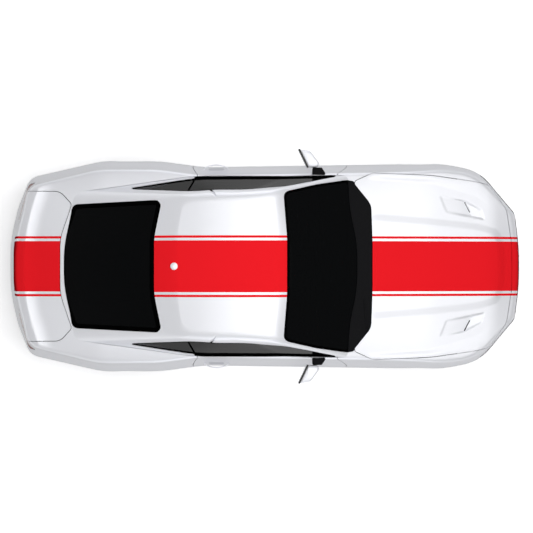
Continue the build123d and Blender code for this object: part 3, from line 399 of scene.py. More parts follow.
def signed_distance(outline, a, b):
    """Distance from points to a closed outline, above 0 inside: nearest side, odd count of crossings."""
    start = outline[np.linalg.norm(np.roll(outline, -1, 0) - outline, axis=1) > 1e-6]
    end = np.roll(start, -1, 0)
    side = end - start
    best, inside = np.full(len(a), 1e18), np.zeros(len(a), bool)
    for (a0, b0), (a1, b1), (da, db) in zip(start, end, side):
        t = np.clip(((a - a0) * da + (b - b0) * db) / (da * da + db * db), 0, 1)
        best = np.minimum(best, (a - a0 - t * da) ** 2 + (b - b0 - t * db) ** 2)
        if db:
            inside ^= ((b0 > b) != (b1 > b)) & (a < a0 + (b - b0) * da / db)
    return np.where(inside, 1, -1) * np.sqrt(best)


def spline_weights(knots, at):
    """Natural cubic spline: row i holds the share of each knot's value in the curve's value at at[i]."""
    knots, at = np.array(knots, float), np.asarray(at, float)
    count, step = len(knots), np.diff(knots)
    system, right = np.eye(count), np.zeros((count, count))
    for i in range(1, count - 1):
        system[i, i - 1 : i + 2] = step[i - 1], 2 * (step[i - 1] + step[i]), step[i]
        right[i, i - 1 : i + 2] = 6 / step[i - 1], -6 / step[i - 1] - 6 / step[i], 6 / step[i]
    second = np.linalg.solve(system, right)
    j = np.clip(np.searchsorted(knots, at) - 1, 0, count - 2)
    b = ((at - knots[j]) / step[j])[..., None]
    a, unit, span = 1 - b, np.eye(count), (step[j] ** 2 / 6)[..., None]
    return a * unit[j] + b * unit[j + 1] + span * ((a**3 - a) * second[j] + (b**3 - b) * second[j + 1])


# %% Top surfaces


def long_line(corners, radii):
    """A line along the car as x, z samples with x rising."""
    line = rounded(corners, radii, 24)
    return line[np.argsort(line[:, 0], kind="stable")]


DECK_LINES = [long_line([(x, heights[k]) for x, heights, _ in DECK], [r for *_, r in DECK]) for k in range(4)]
CROWN_LINE = long_line([(x, z) for x, z, _ in ROOF_LINE], [r for *_, r in ROOF_LINE])


def across(knots, y):
    """Spline weights across the car for values that are the same on both sides."""
    both = spline_weights([-k for k in knots[:0:-1]] + list(knots), np.abs(y))
    middle = len(knots) - 1
    folded = both[..., middle:].copy()
    folded[..., 1:] += both[..., middle - 1 :: -1]
    return folded


def ramp(value, low, high):
    """0 below low, 1 above high and a straight slope between them."""
    return np.clip((value - low) / (np.asarray(high) - low), 0, 1)


def ridge(x, y):
    """Rise of the fender tops beside the hood: a slope up between the two lines of the RIDGE table."""
    x_at, begin, end = np.array(RIDGE, float).T
    up = ramp(np.abs(y), np.interp(x, x_at, begin), np.interp(x, x_at, end))
    along = ramp(x, *RIDGE_REACH[:2]) * (1 - ramp(x, *RIDGE_REACH[2:]))
    return RIDGE_RISE * up * along


def lip(x, y):
    """Rise of the tail's lip: a hollow slope up to a crest that curves forward, and a gentle fall behind."""
    before = x - (LIP_X + LIP_FORWARD * (y / LIP_CORNER_Y) ** 2)
    rise = ramp(-before, -LIP_RUN, 0) ** 2 * (1 - 0.5 * ramp(-before, 0, LIP_RUN))
    return LIP_RISE * rise * (1 - ramp(np.abs(y), LIP_CORNER_Y, HALF_WIDTH - 120))


def deck(x, y):
    """Height of hood, belt and trunk lid: four lines along the car, blended across it, with ridge and lip."""
    lines = np.stack([np.interp(x, line[:, 0], line[:, 1]) for line in DECK_LINES], -1)
    return (lines * across(DECK_Y, y)).sum(-1) + ridge(x, y) + lip(x, y)


def crown(x, y):
    """Height of the roof: the roof line less a fall that grows to the sides."""
    line = np.interp(x, CROWN_LINE[:, 0], CROWN_LINE[:, 1])
    return line - across(ROOF_Y, np.asarray(y) / 1.4) @ np.array(ROOF_FALL, float)


# %% Walls
def even(outlines, spacing, level):
    """Outlines with the same corners, all sampled at even steps along the one at a level."""
    steps = np.linalg.norm(np.diff(outlines[level], axis=0), axis=1)
    along = np.concatenate([[0], np.cumsum(steps + 1e-7)])
    at = np.linspace(0, along[-1], int(along[-1] / spacing) + 1)
    return np.stack([np.stack([np.interp(at, along, o[:, k]) for k in (0, 1)], -1) for o in outlines])


def plan_level(side, nose, tail):
    """Left half of the lower body's outline, nose to tail, at one level of the WALL table."""
    rows = []
    for reference, distance, narrower, radius, share in PLAN:
        y = HALF_WIDTH - narrower
        y -= side if y > 0.6 * HALF_WIDTH else side * y / HALF_WIDTH
        x = {"nose": NOSE_X - distance - share * nose, "tail": TAIL_X + distance + share * tail,
             "rear axle": REAR_AXLE_X + distance}[reference]
        rows.append((x, y, radius))
    rows = [(rows[0][0], 0, 0), *rows, (rows[-1][0], 0, 0)]
    return rounded([(x, y) for x, y, _ in rows], [r for *_, r in rows])


def glass_level(ax, ay):
    """Left half of the greenhouse's outline, from the columns of its table."""
    rows = [(row[ax], row[ay], row[4]) for row in GREENHOUSE]
    rows = [(rows[0][0], 0, 0), *rows, (rows[-1][0], 0, 0)]
    return rounded([(x, y) for x, y, _ in rows], [r for *_, r in rows])


def half_form(outlines, heights, top, foot_z, spine, radius, rows):
    """Left half of a closed form as a grid: wall, round shoulder and top of one column after another.

    The shoulder is a quadratic Bezier over the corner C, from radius below it on the wall to radius inside it
    on the top; the top's columns run to the points (spine(x of C), 0) on the centre line.
    """
    wall_rows, round_rows, top_rows = rows

    def wall(z):
        points = np.einsum("nrk,knd->nrd", spline_weights(heights, z), outlines)
        return np.concatenate([points, z[..., None]], -1)

    z = np.full(outlines.shape[1], heights[-1] - 100.0)
    for _ in range(30):
        corner = wall(z[:, None])[:, 0]
        z = 0.5 * z + 0.5 * top(corner[:, 0], corner[:, 1])
    corner[:, 2] = z
    inward = np.stack([spine(corner[:, 0]), 0 * z], -1) - corner[:, :2]
    length = np.linalg.norm(inward, axis=1)
    bend = np.minimum(radius, 0.4 * length)
    level = foot_z + (z - bend * 0.9 - foot_z)[:, None] * np.linspace(0, 1, wall_rows)
    side = wall(level)
    share = bend / length + (1 - bend / length) * np.linspace(0, 1, top_rows)[:, None] ** 1.2
    plan = corner[:, None, :2] + inward[:, None] * share.T[..., None]
    lid = np.concatenate([plan, top(plan[..., 0], plan[..., 1])[..., None]], -1)
    t = np.linspace(0, 1, round_rows + 2)[1:-1, None]
    curve = (1 - t) ** 2 * side[:, None, -1] + 2 * t * (1 - t) * corner[:, None] + t**2 * lid[:, None, 0]
    return np.concatenate([side, curve, lid], 1)


# %% [markdown]
# ## Panels
# A mesh here is its points, its surface normals and its triangles. A panel is what is left of a form's grid
# when it is cut along the shut lines, given a thickness and turned into a Blender object.

# %% Meshes


def normals_of(points, triangles):
    """Area-weighted vertex normals; points on the centre line get none across it."""
    a, b, c = (points[triangles[:, k]] for k in range(3))
    face = np.cross(b - a, c - a)
    normal = np.zeros_like(points)
    for k in range(3):
        np.add.at(normal, triangles[:, k], face)
    normal[np.abs(points[:, 1]) < 1e-6, 1] = 0
    return normal / np.maximum(1e-12, np.linalg.norm(normal, axis=1))[:, None]


def grid_mesh(grid, closed=False):
    """Mesh of a grid of points, columns by rows; from outside, rows rise to the left of columns."""
    columns, rows = grid.shape[:2]
    index = np.arange(columns * rows).reshape(columns, rows)
    if closed:
        index = np.concatenate([index, index[:1]])
    a, b, c, d = index[:-1, :-1], index[1:, :-1], index[1:, 1:], index[:-1, 1:]
    triangles = np.concatenate([np.stack(t, -1).reshape(-1, 3) for t in ((a, b, c), (a, c, d))])
    points = grid.reshape(-1, 3)
    return points, normals_of(points, triangles), triangles


def clip(mesh, field):
    """The part of a mesh where field, one value to a point, is above 0; an edge is cut where it passes 0."""
    points, normals, triangles = mesh
    field = np.where(np.abs(field) < 1e-4, 1e-4, field)
    inside = field > 0
    count = inside[triangles].sum(1)
    kept, ends = [triangles[count == 3]], []
    for number in (1, 2):
        part = triangles[count == number]
        lone = np.argmax(inside[part] == (number == 1), 1)
        part = np.take_along_axis(part, (lone[:, None] + np.arange(3)) % 3, 1)
        first = len(points) + sum(len(e) for e in ends) + np.arange(len(part))
        second = first + len(part)
        ends += [part[:, [0, 1]], part[:, [0, 2]]]
        if number == 1:
            kept.append(np.stack([part[:, 0], first, second], 1))
        else:
            kept += [np.stack([first, part[:, 1], part[:, 2]], 1), np.stack([first, part[:, 2], second], 1)]
    ends = np.sort(np.concatenate(ends), 1)
    near, far = ends.T
    t = (field[near] / (field[near] - field[far]))[:, None]
    points = np.concatenate([points, points[near] * (1 - t) + points[far] * t])
    normals = np.concatenate([normals, normals[near] * (1 - t) + normals[far] * t])
    return weld((points, normals, np.concatenate(kept)))


def weld(mesh, grid=0.02):
    """Joins points closer than the grid, and drops unused points and triangles with no area."""
    points, normals, triangles = mesh
    _, index, inverse = np.unique(np.round(points / grid).astype(np.int64), axis=0, return_index=True,
                                  return_inverse=True)
    triangles = inverse.reshape(-1)[triangles]
    flat = (triangles == np.roll(triangles, 1, 1)).any(1)
    triangles = triangles[~flat]
    used, triangles = np.unique(triangles, return_inverse=True)
    return points[index][used], normals[index][used], triangles.reshape(-1, 3)


def mirror(mesh):
    """The same mesh on the car's other side."""
    points, normals, triangles = mesh
    flip = np.array([1, -1, 1])
    return points * flip, normals * flip, triangles[:, ::-1]


def join(*meshes):
    """Several meshes as one, welded where they meet."""
    start = np.cumsum([0] + [len(m[0]) for m in meshes])
    return weld((np.concatenate([m[0] for m in meshes]), np.concatenate([m[1] for m in meshes]),
                 np.concatenate([m[2] + s for m, s in zip(meshes, start)])))


def offset(mesh, distance):
    """The mesh moved along its normals."""
    return mesh[0] + mesh[1] * distance, mesh[1], mesh[2]


def shell(mesh, thickness):
    """A closed sheet: the mesh, a copy that lies thickness under it and a rim between their open edges."""
    points, normals, triangles = mesh
    size = len(points)
    edges = np.concatenate([triangles[:, [0, 1]], triangles[:, [1, 2]], triangles[:, [2, 0]]])
    key = np.sort(edges, 1) @ np.array([size, 1])
    _, first, count = np.unique(key, return_index=True, return_counts=True)
    a, b = edges[first[count == 1]].T
    rim = np.concatenate([np.stack([b, a, a + size], 1), np.stack([b, a + size, b + size], 1)])
    both = np.concatenate([triangles, triangles[:, ::-1] + size, rim])
    return np.concatenate([points, points - normals * thickness]), np.concatenate([normals, -normals]), both


# %% Blender objects
def piece(name, mesh, mat, body, replaces=(), crease=32.0):
    """A mesh in millimetres as a Blender object that rides on a CAD body and stands for CAD nodes."""
    points, _, triangles = mesh
    data = bpy.data.meshes.new(name)
    data.from_pydata((points / 1000).tolist(), [], triangles.tolist())
    data.validate()
    data.shade_smooth()
    data.set_sharp_from_angle(angle=math.radians(crease))
    data.materials.append(mat)
    made = bpy.data.objects.new(name, data)
    bpy.context.collection.objects.link(made)
    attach(made, body)
    if replaces:
        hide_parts(*replaces)
    return made

# %% The two forms
LEVELS = [z for z, *_ in WALL]
body_outlines = even(np.stack([plan_level(*row[1:]) for row in WALL]), 14.0, 3)
body_half = grid_mesh(half_form(body_outlines, LEVELS, deck, SILL_Z, lambda x: 0.72 * x, SHOULDER,
                                (44, 8, 50)))
glass_outlines = even(np.stack([glass_level(0, 1), glass_level(2, 3)]), 14.0, 0)
glass_grid = half_form(glass_outlines, (GLASS_FOOT_Z, GLASS_TOP_Z), crown, GLASS_FOOT_Z,
                       lambda x: -330 + 0.6 * (x + 330), 75.0, (58, 8, 54))


def with_rails(grid):
    """Roof rails: from the head of the side glass the surface rises inward at RAIL_SLOPE up to the roof."""
    head = np.array([(x, z) for x, z in rounded([(x, z) for x, z, _ in SIDE_WINDOW],
                                                [r for *_, r in SIDE_WINDOW])
                     if z > 1012])
    head = head[np.argsort(head[:, 0])]
    edge_z = np.interp(grid[..., 0], head[:, 0], head[:, 1]) + 6
    above = grid[..., 2] > edge_z
    first = np.argmax(above, axis=1)
    edge = grid[np.arange(len(grid)), first]
    inward = np.linalg.norm(grid[..., :2] - edge[:, None, :2], axis=2)
    on_side = ramp(edge[:, 0], -1230, -1150) * (1 - ramp(edge[:, 0], 560, 640)) * above.any(axis=1)
    limit = edge[:, None, 2] + inward * RAIL_SLOPE + 400 * (1 - on_side)[:, None]
    made = grid.copy()
    made[..., 2] = np.where(above, np.minimum(grid[..., 2], limit), grid[..., 2])
    return made


glass_half = grid_mesh(with_rails(glass_grid))
print("body half:", len(body_half[2]), "triangles; greenhouse half:", len(glass_half[2]))

# %% Fields
def view_of(mesh, view):
    """The two coordinates of a view: from above x and y, from the side x and z, from the front y and z."""
    return tuple(mesh[0][:, "xyz".index(axis)] for axis in view)


def field(mesh, view, rows, grow=0.0, both=False):
    """Signed distance to an outline of (a, b, radius) rows in a view; both adds its mirror image."""
    if view == "xy" or both:
        flip = view == "yz"
        rows = [(b, a, r) for a, b, r in rows] if flip else rows
        points, radii = mirrored(rows)
        points = [(b, a) for a, b in points] if flip else points
    else:
        points, radii = [(a, b) for a, b, _ in rows], [r for *_, r in rows]
    return signed_distance(rounded(points, radii), *view_of(mesh, view)) + grow


def arch_field(mesh):
    """Distance outside both wheel arches."""
    x, z = view_of(mesh, "xz")
    return np.minimum(np.hypot(x - FRONT_AXLE_X, z - AXLE_Z) - FRONT_ARCH,
                      np.hypot(x - REAR_AXLE_X, z - AXLE_Z) - REAR_ARCH)


def outside_glass(mesh, gap):
    """Distance outside the greenhouse, whose outline changes evenly with height."""
    share = (mesh[0][:, 2] - GLASS_FOOT_Z) / (GLASS_TOP_Z - GLASS_FOOT_Z)
    levels = np.linspace(0, 0.4, 5)
    at_levels = []
    for level in levels:
        outline = glass_outlines[0] * (1 - level) + glass_outlines[1] * level
        outline = np.concatenate([outline, outline[::-1] * [1, -1]])
        at_levels.append(-signed_distance(outline, *view_of(mesh, "xy")))
    at_levels = np.stack(at_levels, -1)
    where = np.clip(share / levels[1], 0, len(levels) - 1.001)
    lower = where.astype(int)
    value = np.take_along_axis(at_levels, np.stack([lower, lower + 1], -1), 1)
    return value[:, 0] * (1 - where + lower) + value[:, 1] * (where - lower) - gap


def cut(mesh, *steps):
    """Clips a mesh by each step in turn: (outline or function, view, gap, True to keep the inside)."""
    for rows, view, gap, keep in steps:
        if callable(rows):
            mesh = clip(mesh, rows(mesh))
            continue
        value = field(mesh, view, rows, both=rows in CENTRED)
        mesh = clip(mesh, value - gap / 2 if keep else -value - gap / 2)
    return mesh


def hole(mesh, rows, gap, limit):
    """Opens a hole seen from the front in a mesh beyond limit in x; a limit below 0 means the tail."""
    value = -field(mesh, "yz", rows, both=rows in CENTRED) - gap / 2
    beyond = (mesh[0][:, 0] - limit) * (1 if limit > 0 else -1)
    return clip(mesh, np.maximum(value, -beyond))


# %% Outer panels
def outside_hood(mesh):
    """Distance outside the hood seen from above; the wall below the bumper runs on under it."""
    return np.maximum(-field(mesh, "xy", HOOD) - SHUT_GAP / 2, 600 - mesh[0][:, 2])


HOOD_EDGE, COWL_EDGE = (outside_hood, None, 0, True), (COWL, "xy", SEAM, False)
NOSE_SIDE = (*NOSE_SEAM, (FAR, 1100, 0), (FAR, 60, 0), (FRONT_AXLE_X, 60, 0))
TAIL_SIDE = (*TAIL_SEAM, (-FAR, 60, 0), (REAR_AXLE_X, 60, 0))
FENDER_SIDE = (
    *NOSE_SEAM, (DOOR_FRONT_X - 120, DOOR_TOP_Z, 0), (DOOR_FRONT_X - 120, 600, 0), (DOOR_FRONT_X, 600, 0),
    (DOOR_FRONT_X, SILL_TOP_Z, 0), (FRONT_AXLE_X, SILL_TOP_Z, 0),
)
QUARTER_SIDE = (
    (DOOR_REAR_X + 120, 1300, 0), (DOOR_REAR_X + 120, 600, 0), (DOOR_FRONT_X, 600, 0),
    (DOOR_FRONT_X, SILL_TOP_Z, 0), (FRONT_AXLE_X, SILL_TOP_Z, 0), (FRONT_AXLE_X, 60, 0), (-FAR, 60, 0),
    (-FAR, 1300, 0),
)


def clear_of_glass(mesh):
    """Distance outside the greenhouse; a panel runs on below the belt, inside of the glass's foot."""
    x, y, z = mesh[0].T
    return np.maximum(outside_glass(mesh, SEAM), deck(x, y) - BELT_TUCK - z)


beside_glass = (clear_of_glass, None, 0, True)


def lid_edge(mesh, gap, keep):
    """The trunk lid reaches down the rear wall between the lamps."""
    value = np.minimum(field(mesh, "xy", LID), field(mesh, "yz", LID_FACE, both=True))
    return value - gap / 2 if keep else -value - gap / 2


lid_hole = (lambda mesh: lid_edge(mesh, SHUT_GAP, False), None, 0, True)
arches = (arch_field, None, 0, True)

fender = cut(body_half, (FENDER_SIDE, "xz", SEAM, True), HOOD_EDGE, COWL_EDGE,
             (DOOR, "xz", SHUT_GAP, False), arches, beside_glass)
fender = hole(fender, HEADLAMP, GLASS_GAP, 1900)
door = cut(body_half, (DOOR, "xz", SHUT_GAP, True), beside_glass)
quarter = cut(body_half, (QUARTER_SIDE, "xz", SEAM, True), (DOOR, "xz", SHUT_GAP, False),
              (TAIL_SIDE, "xz", SEAM, False),
              lid_hole, arches, beside_glass)
quarter = hole(quarter, TAIL_LAMP, GLASS_GAP, -2050)
nose = cut(body_half, (NOSE_SIDE, "xz", SEAM, True), HOOD_EDGE, arches)
for rows, gap in ((HEADLAMP, GLASS_GAP), (GRILLE_UPPER, 0), (GRILLE_LOWER, 0)):
    nose = hole(nose, rows, gap, 1900)
tail = cut(body_half, (TAIL_SIDE, "xz", SEAM, True), lid_hole, arches)
tail_form = clip(tail, -2000 - tail[0][:, 0])
for rows in (PLATE, VALANCE, REFLECTOR):
    tail = hole(tail, rows, SEAM, -2000)
lid = clip(body_half, lid_edge(body_half, SHUT_GAP, True))
cowl = cut(body_half, (COWL, "xy", SEAM, True), HOOD_EDGE, beside_glass)

for side, turn in (("left", lambda m: m), ("right", mirror)):
    piece(f"fender_{side}.skin", shell(turn(fender), SKIN), white_paint, "body", [f"fender_{side}"])
    piece(f"quarter_{side}.skin", shell(turn(quarter), SKIN), white_paint, "body", [f"side_{side}"])
    piece(f"door_{side}.skin", shell(turn(door), SKIN), white_paint, f"door_{side}", [f"door_{side}"])
for name, half, mat, body, replaced in (
    ("nose", nose, striped_paint, "body", "front_bumper"), ("tail", tail, white_paint, "body", "rear_bumper"),
    ("lid", lid, striped_paint, "trunk_lid", "trunk_lid"), ("cowl", cowl, black_plastic, "body", "cowl"),
):
    slot_name = "black_plastic" if mat == black_plastic else "white_paint"
    piece(f"{name}.skin", shell(join(half, mirror(half)), SKIN), mat, body, [replaced])

# %% Hood
HOOD_STEP, HOOD_BLEND = 9.0, 26.0  # grid step, and the height over which the top rounds into the wall


def hood_height(x, y):
    """The deck with the dome on it and the two vents sunk into it."""
    dome = signed_distance(rounded(*mirrored(DOME)), x, y)
    outline, slot = (rounded([(a, b) for a, b, _ in rows], [r for *_, r in rows])
                     for rows in (VENT, VENT_SLOT))
    inside = signed_distance(outline, x, np.abs(y))
    to_slot = ramp(x + 0.53 * (np.abs(y) - 545), VENT[0][0] + 30, VENT_SLOT[0][0] + 30)
    beyond = ramp(x + 0.53 * (np.abs(y) - 545), VENT_SLOT[0][0] + 45, VENT[2][0] - 20)
    sunk = VENT_DEPTH * ramp(inside, 0, VENT_EDGE) * (0.25 + 0.75 * to_slot**2) * (1 - 0.75 * beyond)
    return deck(x, y) + DOME_RISE * ramp(dome, -DOME_SLOPE / 2, DOME_SLOPE / 2) - sunk


hood_x, hood_y = np.meshgrid(
    np.arange(780, NOSE_X - 90, HOOD_STEP), np.arange(-880, 881, HOOD_STEP), indexing="ij"
)


def wall_height(x, y):
    """Height at which the body's wall, which leans in as it rises, passes through points seen from above."""
    levels = np.arange(620.0, 1001.0, 38.0)
    outlines = np.einsum("lk,knd->lnd", spline_weights(LEVELS, levels), body_outlines[:, ::3])
    inside = np.stack([signed_distance(np.concatenate([o, o[::-1] * [1, -1]]), x, y) for o in outlines])
    inside = np.vstack([inside, np.full(len(x), -1.0)])
    count = np.clip((inside > 0).sum(0), 1, len(levels))
    upper, under = (np.take_along_axis(inside, k[None], 0)[0] for k in (count, count - 1))
    z = levels[count - 1] + 38.0 * np.clip(under, 0, None) / np.maximum(under - upper, 1e-6)
    return np.where(count == len(levels), levels[-1] + under, z)


hood_z = hood_height(hood_x.ravel(), hood_y.ravel())
near_edge = (np.abs(hood_y.ravel()) > 690) | (hood_x.ravel() > 1980)
wall_z = np.full(hood_z.shape, 2000.0)
wall_z[near_edge] = wall_height(hood_x.ravel()[near_edge], np.abs(hood_y.ravel()[near_edge]))
blend = np.clip(1 - np.abs(wall_z - hood_z) / HOOD_BLEND, 0, 1)
hood_z = (np.minimum(hood_z, wall_z) - blend**2 * HOOD_BLEND / 4).reshape(hood_x.shape)
hood_top = grid_mesh(np.stack([hood_x, hood_y, hood_z], -1))
hood = cut(hood_top, (HOOD, "xy", SHUT_GAP, True))
slot = rounded([(a, b) for a, b, _ in VENT_SLOT], [r for *_, r in VENT_SLOT])
to_slot = signed_distance(slot, hood[0][:, 0], np.abs(hood[0][:, 1]))
piece("hood.skin", shell(clip(hood, -to_slot), 8.0), striped_paint, "hood", ["hood"],
      crease=25.0)
trays = offset(clip(hood, 14 + to_slot), -12.0)
piece("hood.vent_trays", shell(trays, 3.0), black_plastic, "hood")

# %% Roof and glass
above_deck = (lambda mesh: mesh[0][:, 2] - deck(mesh[0][:, 0], mesh[0][:, 1]) + 2.0, None, 0, True)
roof = cut(glass_half, above_deck, (WINDSHIELD, "xy", 0, False), (REAR_WINDOW, "xy", 0, False),
           (SIDE_WINDOW, "xz", 0, False), (LID, "xy", SHUT_GAP, False))
roof = clip(roof, np.maximum(-field(roof, "xz", DOOR) - SHUT_GAP / 2, roof[0][:, 2] - 950))
roof = clip(roof, roof[0][:, 0] - LID[0][0])
piece("roof.skin", shell(join(roof, mirror(roof)), SKIN), striped_paint, "body", ["roof"])


def pane(name, mesh, field, border, mat, edge, body, node_name, thick=5.0, both=True, turn=lambda m: m):
    """A sheet of glass with a black border: field is the distance in from its outline."""
    for part, inside, paint_of in (("glass", field - border, mat), ("border", border - field, edge)):
        half = clip(mesh, inside)
        whole = join(half, mirror(half)) if both else turn(half)
        replaced = [node_name] if part == "glass" else []
        piece(f"{name}.{part}", shell(offset(whole, -4.0), thick), paint_of, body, replaced)


windshield = cut(glass_half, (WINDSHIELD, "xy", GLASS_GAP, True))
windshield = clip(windshield, np.minimum(955 - windshield[0][:, 0], windshield[0][:, 2] - GLASS_FOOT_Z - 1))
rear_glass = cut(glass_half, (REAR_WINDOW, "xy", GLASS_GAP, True))
edge = np.minimum(field(windshield, "xy", WINDSHIELD),
                  905 - windshield[0][:, 0] - 0.00022 * windshield[0][:, 1] ** 2)
pane("windshield", windshield, edge, 24.0, glass, glass_black, "body", "windshield")
pane("rear_window", rear_glass, field(rear_glass, "xy", REAR_WINDOW), 42.0, glass, glass_black, "body",
     "rear_window")
side_glass = cut(glass_half, (SIDE_WINDOW, "xz", 8.0, True))
side_glass = clip(side_glass, side_glass[0][:, 2] - deck(*side_glass[0][:, :2].T) + BELT_TUCK)
x, z = view_of(side_glass, "xz")
(foot_x, foot_z), (head_x, head_z) = DIVIDER
behind = foot_x + (head_x - foot_x) * (z - foot_z) / (head_z - foot_z) - x
door_glass = clip(side_glass, -behind)
quarter_pane = clip(side_glass, behind - DIVIDER_GAP)


def side_edge(mesh):
    """Distance in from the edge of the side glass, whose foot is where it meets the belt."""
    x, z = view_of(mesh, "xz")
    split = np.abs(foot_x + (head_x - foot_x) * (z - foot_z) / (head_z - foot_z) - x)
    above = z - deck(x, mesh[0][:, 1]) - BELT_BAND
    return np.minimum(np.minimum(field(mesh, "xz", SIDE_WINDOW), above), 2.2 * split)


for side, turn in (("left", lambda m: m), ("right", mirror)):
    pane(f"door_glass_{side}", door_glass, side_edge(door_glass), 20.0, side_tint, glass_black,
         f"door_{side}",
         f"door_glass_{side}", 4.0, False, turn)
pane("quarter_glass", quarter_pane, side_edge(quarter_pane), 20.0, side_tint, glass_black, "body",
     "quarter_glass", 4.0)
print("panels done")

# %% [markdown]
# ## Lamps, grilles, mirrors and trim
# Small parts are stacks of rings: an outline that is drawn in towards both ends gives a block round edges,
# and a section carried along a path gives a bar.

# %% Small forms


def stack(rings, closed=False):
    """Closed mesh from rings of equal count; fans close the end rings unless the stack meets itself."""
    rings = np.asarray(rings, float)
    count, size = rings.shape[:2]
    index = np.arange(count * size).reshape(count, size)
    upper = np.roll(index, -1, 0) if closed else index[1:]
    lower = index if closed else index[:-1]
    a, b, c, d = lower, np.roll(lower, -1, 1), np.roll(upper, -1, 1), upper
    triangles = [np.stack(t, -1).reshape(-1, 3) for t in ((a, b, c), (a, c, d))]
    points = rings.reshape(-1, 3)
    if not closed:
        for ring, flip in ((0, -1), (-1, 1)):
            centre = len(points)
            points = np.concatenate([points, rings[ring].mean(0)[None]])
            loop = index[ring][::flip]
            triangles.append(np.stack([loop, np.roll(loop, -1), np.full(size, centre)], 1))
    triangles = np.concatenate(triangles)
    return points, normals_of(points, triangles), triangles


VIEWS = {"xy": (0, 1, 2), "xz": (0, 2, 1), "yz": (1, 2, 0)}


def plate(view, rows, low, high, radius, steps=5):
    """A block with round edges: an outline carried from low to high and drawn in near both ends."""
    outline = rounded([(a, b) for a, b, _ in rows], [r for *_, r in rows], 5)
    if ((outline[:, 0] - np.roll(outline[:, 0], 1)) * (outline[:, 1] + np.roll(outline[:, 1], 1))).sum() > 0:
        outline = outline[::-1]
    if view == "xz":
        outline = outline[::-1]
    centre = (outline.max(0) + outline.min(0)) / 2
    reach = (outline.max(0) - outline.min(0)) / 2
    turn = np.linspace(0, np.pi / 2, steps)
    inset = radius * (1 - np.sin(turn))
    heights = np.concatenate([low + radius * (1 - np.cos(turn)), (high - radius * (1 - np.cos(turn)))[::-1]])
    a, b, c = VIEWS[view]
    rings = np.zeros((2 * steps, len(outline), 3))
    rings[..., c] = heights[:, None]
    drawn = 1 - np.concatenate([inset, inset[::-1]])[:, None] / reach
    rings[..., [a, b]] = centre + (outline - centre) * drawn[:, None]
    return stack(rings)


def corners(x, y, radius):
    """A rectangle as rows of an outline."""
    return [(x[0], y[0], radius), (x[1], y[0], radius), (x[1], y[1], radius), (x[0], y[1], radius)]


def moved(mesh, by=(0, 0, 0), turn=0.0, about="y"):
    """A mesh turned in degrees about an axis through the origin and then moved."""
    a = math.radians(turn)
    c, s = math.cos(a), math.sin(a)
    matrix = np.array({"x": ((1, 0, 0), (0, c, -s), (0, s, c)), "y": ((c, 0, s), (0, 1, 0), (-s, 0, c)),
                       "z": ((c, -s, 0), (s, c, 0), (0, 0, 1))}[about])
    return mesh[0] @ matrix.T + np.array(by, float), mesh[1] @ matrix.T, mesh[2]


def merged(meshes):
    """Several meshes as one, not welded."""
    start = np.cumsum([0] + [len(m[0]) for m in meshes])
    return (np.concatenate([m[0] for m in meshes]), np.concatenate([m[1] for m in meshes]),
            np.concatenate([m[2] + s for m, s in zip(meshes, start)]))


def bar(path, across_by, up_by, sides=12, taper=None):
    """A bar with an oval section along a path; across_by and up_by are its half width and half height."""
    path = np.array(path, float)
    way = np.gradient(path, axis=0)
    way /= np.linalg.norm(way, axis=1)[:, None]
    side = np.cross(way, [0, 0, 1.0])
    side /= np.maximum(1e-9, np.linalg.norm(side, axis=1))[:, None]
    up = np.cross(side, way)
    angle = np.linspace(0, 2 * np.pi, sides, endpoint=False)
    scale = np.ones(len(path)) if taper is None else np.array(taper, float)
    ring = (side[:, None] * np.cos(angle)[None, :, None] * across_by + up[:, None]
            * np.sin(angle)[None, :, None] * up_by)
    return stack((path[:, None] + ring * scale[:, None, None])[::-1])


def lathe(profile, centre, axis="y", steps=48, closed=False):
    """A turned form: rows of distance along the axis and radius."""
    along, radius = np.array(profile, float).T
    angle = np.linspace(0, 2 * np.pi, steps, endpoint=False)
    a, b, c = {"x": (1, 2, 0), "y": (2, 0, 1), "z": (0, 1, 2)}[axis]
    rings = np.zeros((len(along), steps, 3))
    rings[..., c] = along[:, None]
    rings[..., a], rings[..., b] = radius[:, None] * np.cos(angle), radius[:, None] * np.sin(angle)
    return moved(stack(rings, closed), centre)


def surface(mesh, view, a, b):
    """Third coordinate of a panel at points of a view: mean of the four nearest, by 1/distance squared."""
    i, j, k = VIEWS[view]
    points = mesh[0]
    gap = (points[None, :, i] - np.ravel(a)[:, None]) ** 2 + (points[None, :, j] - np.ravel(b)[:, None]) ** 2
    near = np.argpartition(gap, 4, 1)[:, :4]
    weight = 1 / (np.take_along_axis(gap, near, 1) + 1e-3)
    return (points[near, k] * weight).sum(1) / weight.sum(1)


SIDES = (("left", lambda m: m), ("right", mirror))

# %% Mirrors and door handles
MIRROR_Z = (985, 1105)
REAR_OUTER, REAR_INNER = np.array((303.0, 1054.0)), np.array((386.0, 884.0))
along_face = (REAR_INNER - REAR_OUTER) / np.linalg.norm(REAR_INNER - REAR_OUTER)
forward = np.array((-along_face[1], along_face[0]))
RIM, HOUSING = 14.0, 12.0  # depth of the black rim, start of the white housing
rim_rows = [(*REAR_OUTER, 6), (*REAR_INNER, 6), (*(REAR_INNER + forward * RIM), 6),
            (*(REAR_OUTER + forward * RIM), 6)]
housing_rows = [(*(REAR_OUTER + forward * HOUSING + along_face * 4), 8),
                (*(REAR_INNER + forward * HOUSING - along_face * 4), 8),
                (519, 896, 28), (414, 1038, 42)]
ARM = ((562, 832, 10), (520, 896, 12), (436, 896, 12), (434, 834, 10))
GLASS_FACE = (8.0, 52.0)  # how far the mirror glass stays from the rim's ends, and its half height
face_mid = (REAR_OUTER + REAR_INNER) / 2
half_face = np.linalg.norm(REAR_INNER - REAR_OUTER) / 2 - GLASS_FACE[0]
face = plate("yz", corners((-half_face, half_face), (-GLASS_FACE[1], GLASS_FACE[1]), 24), -1.5, 4.0, 1.2)
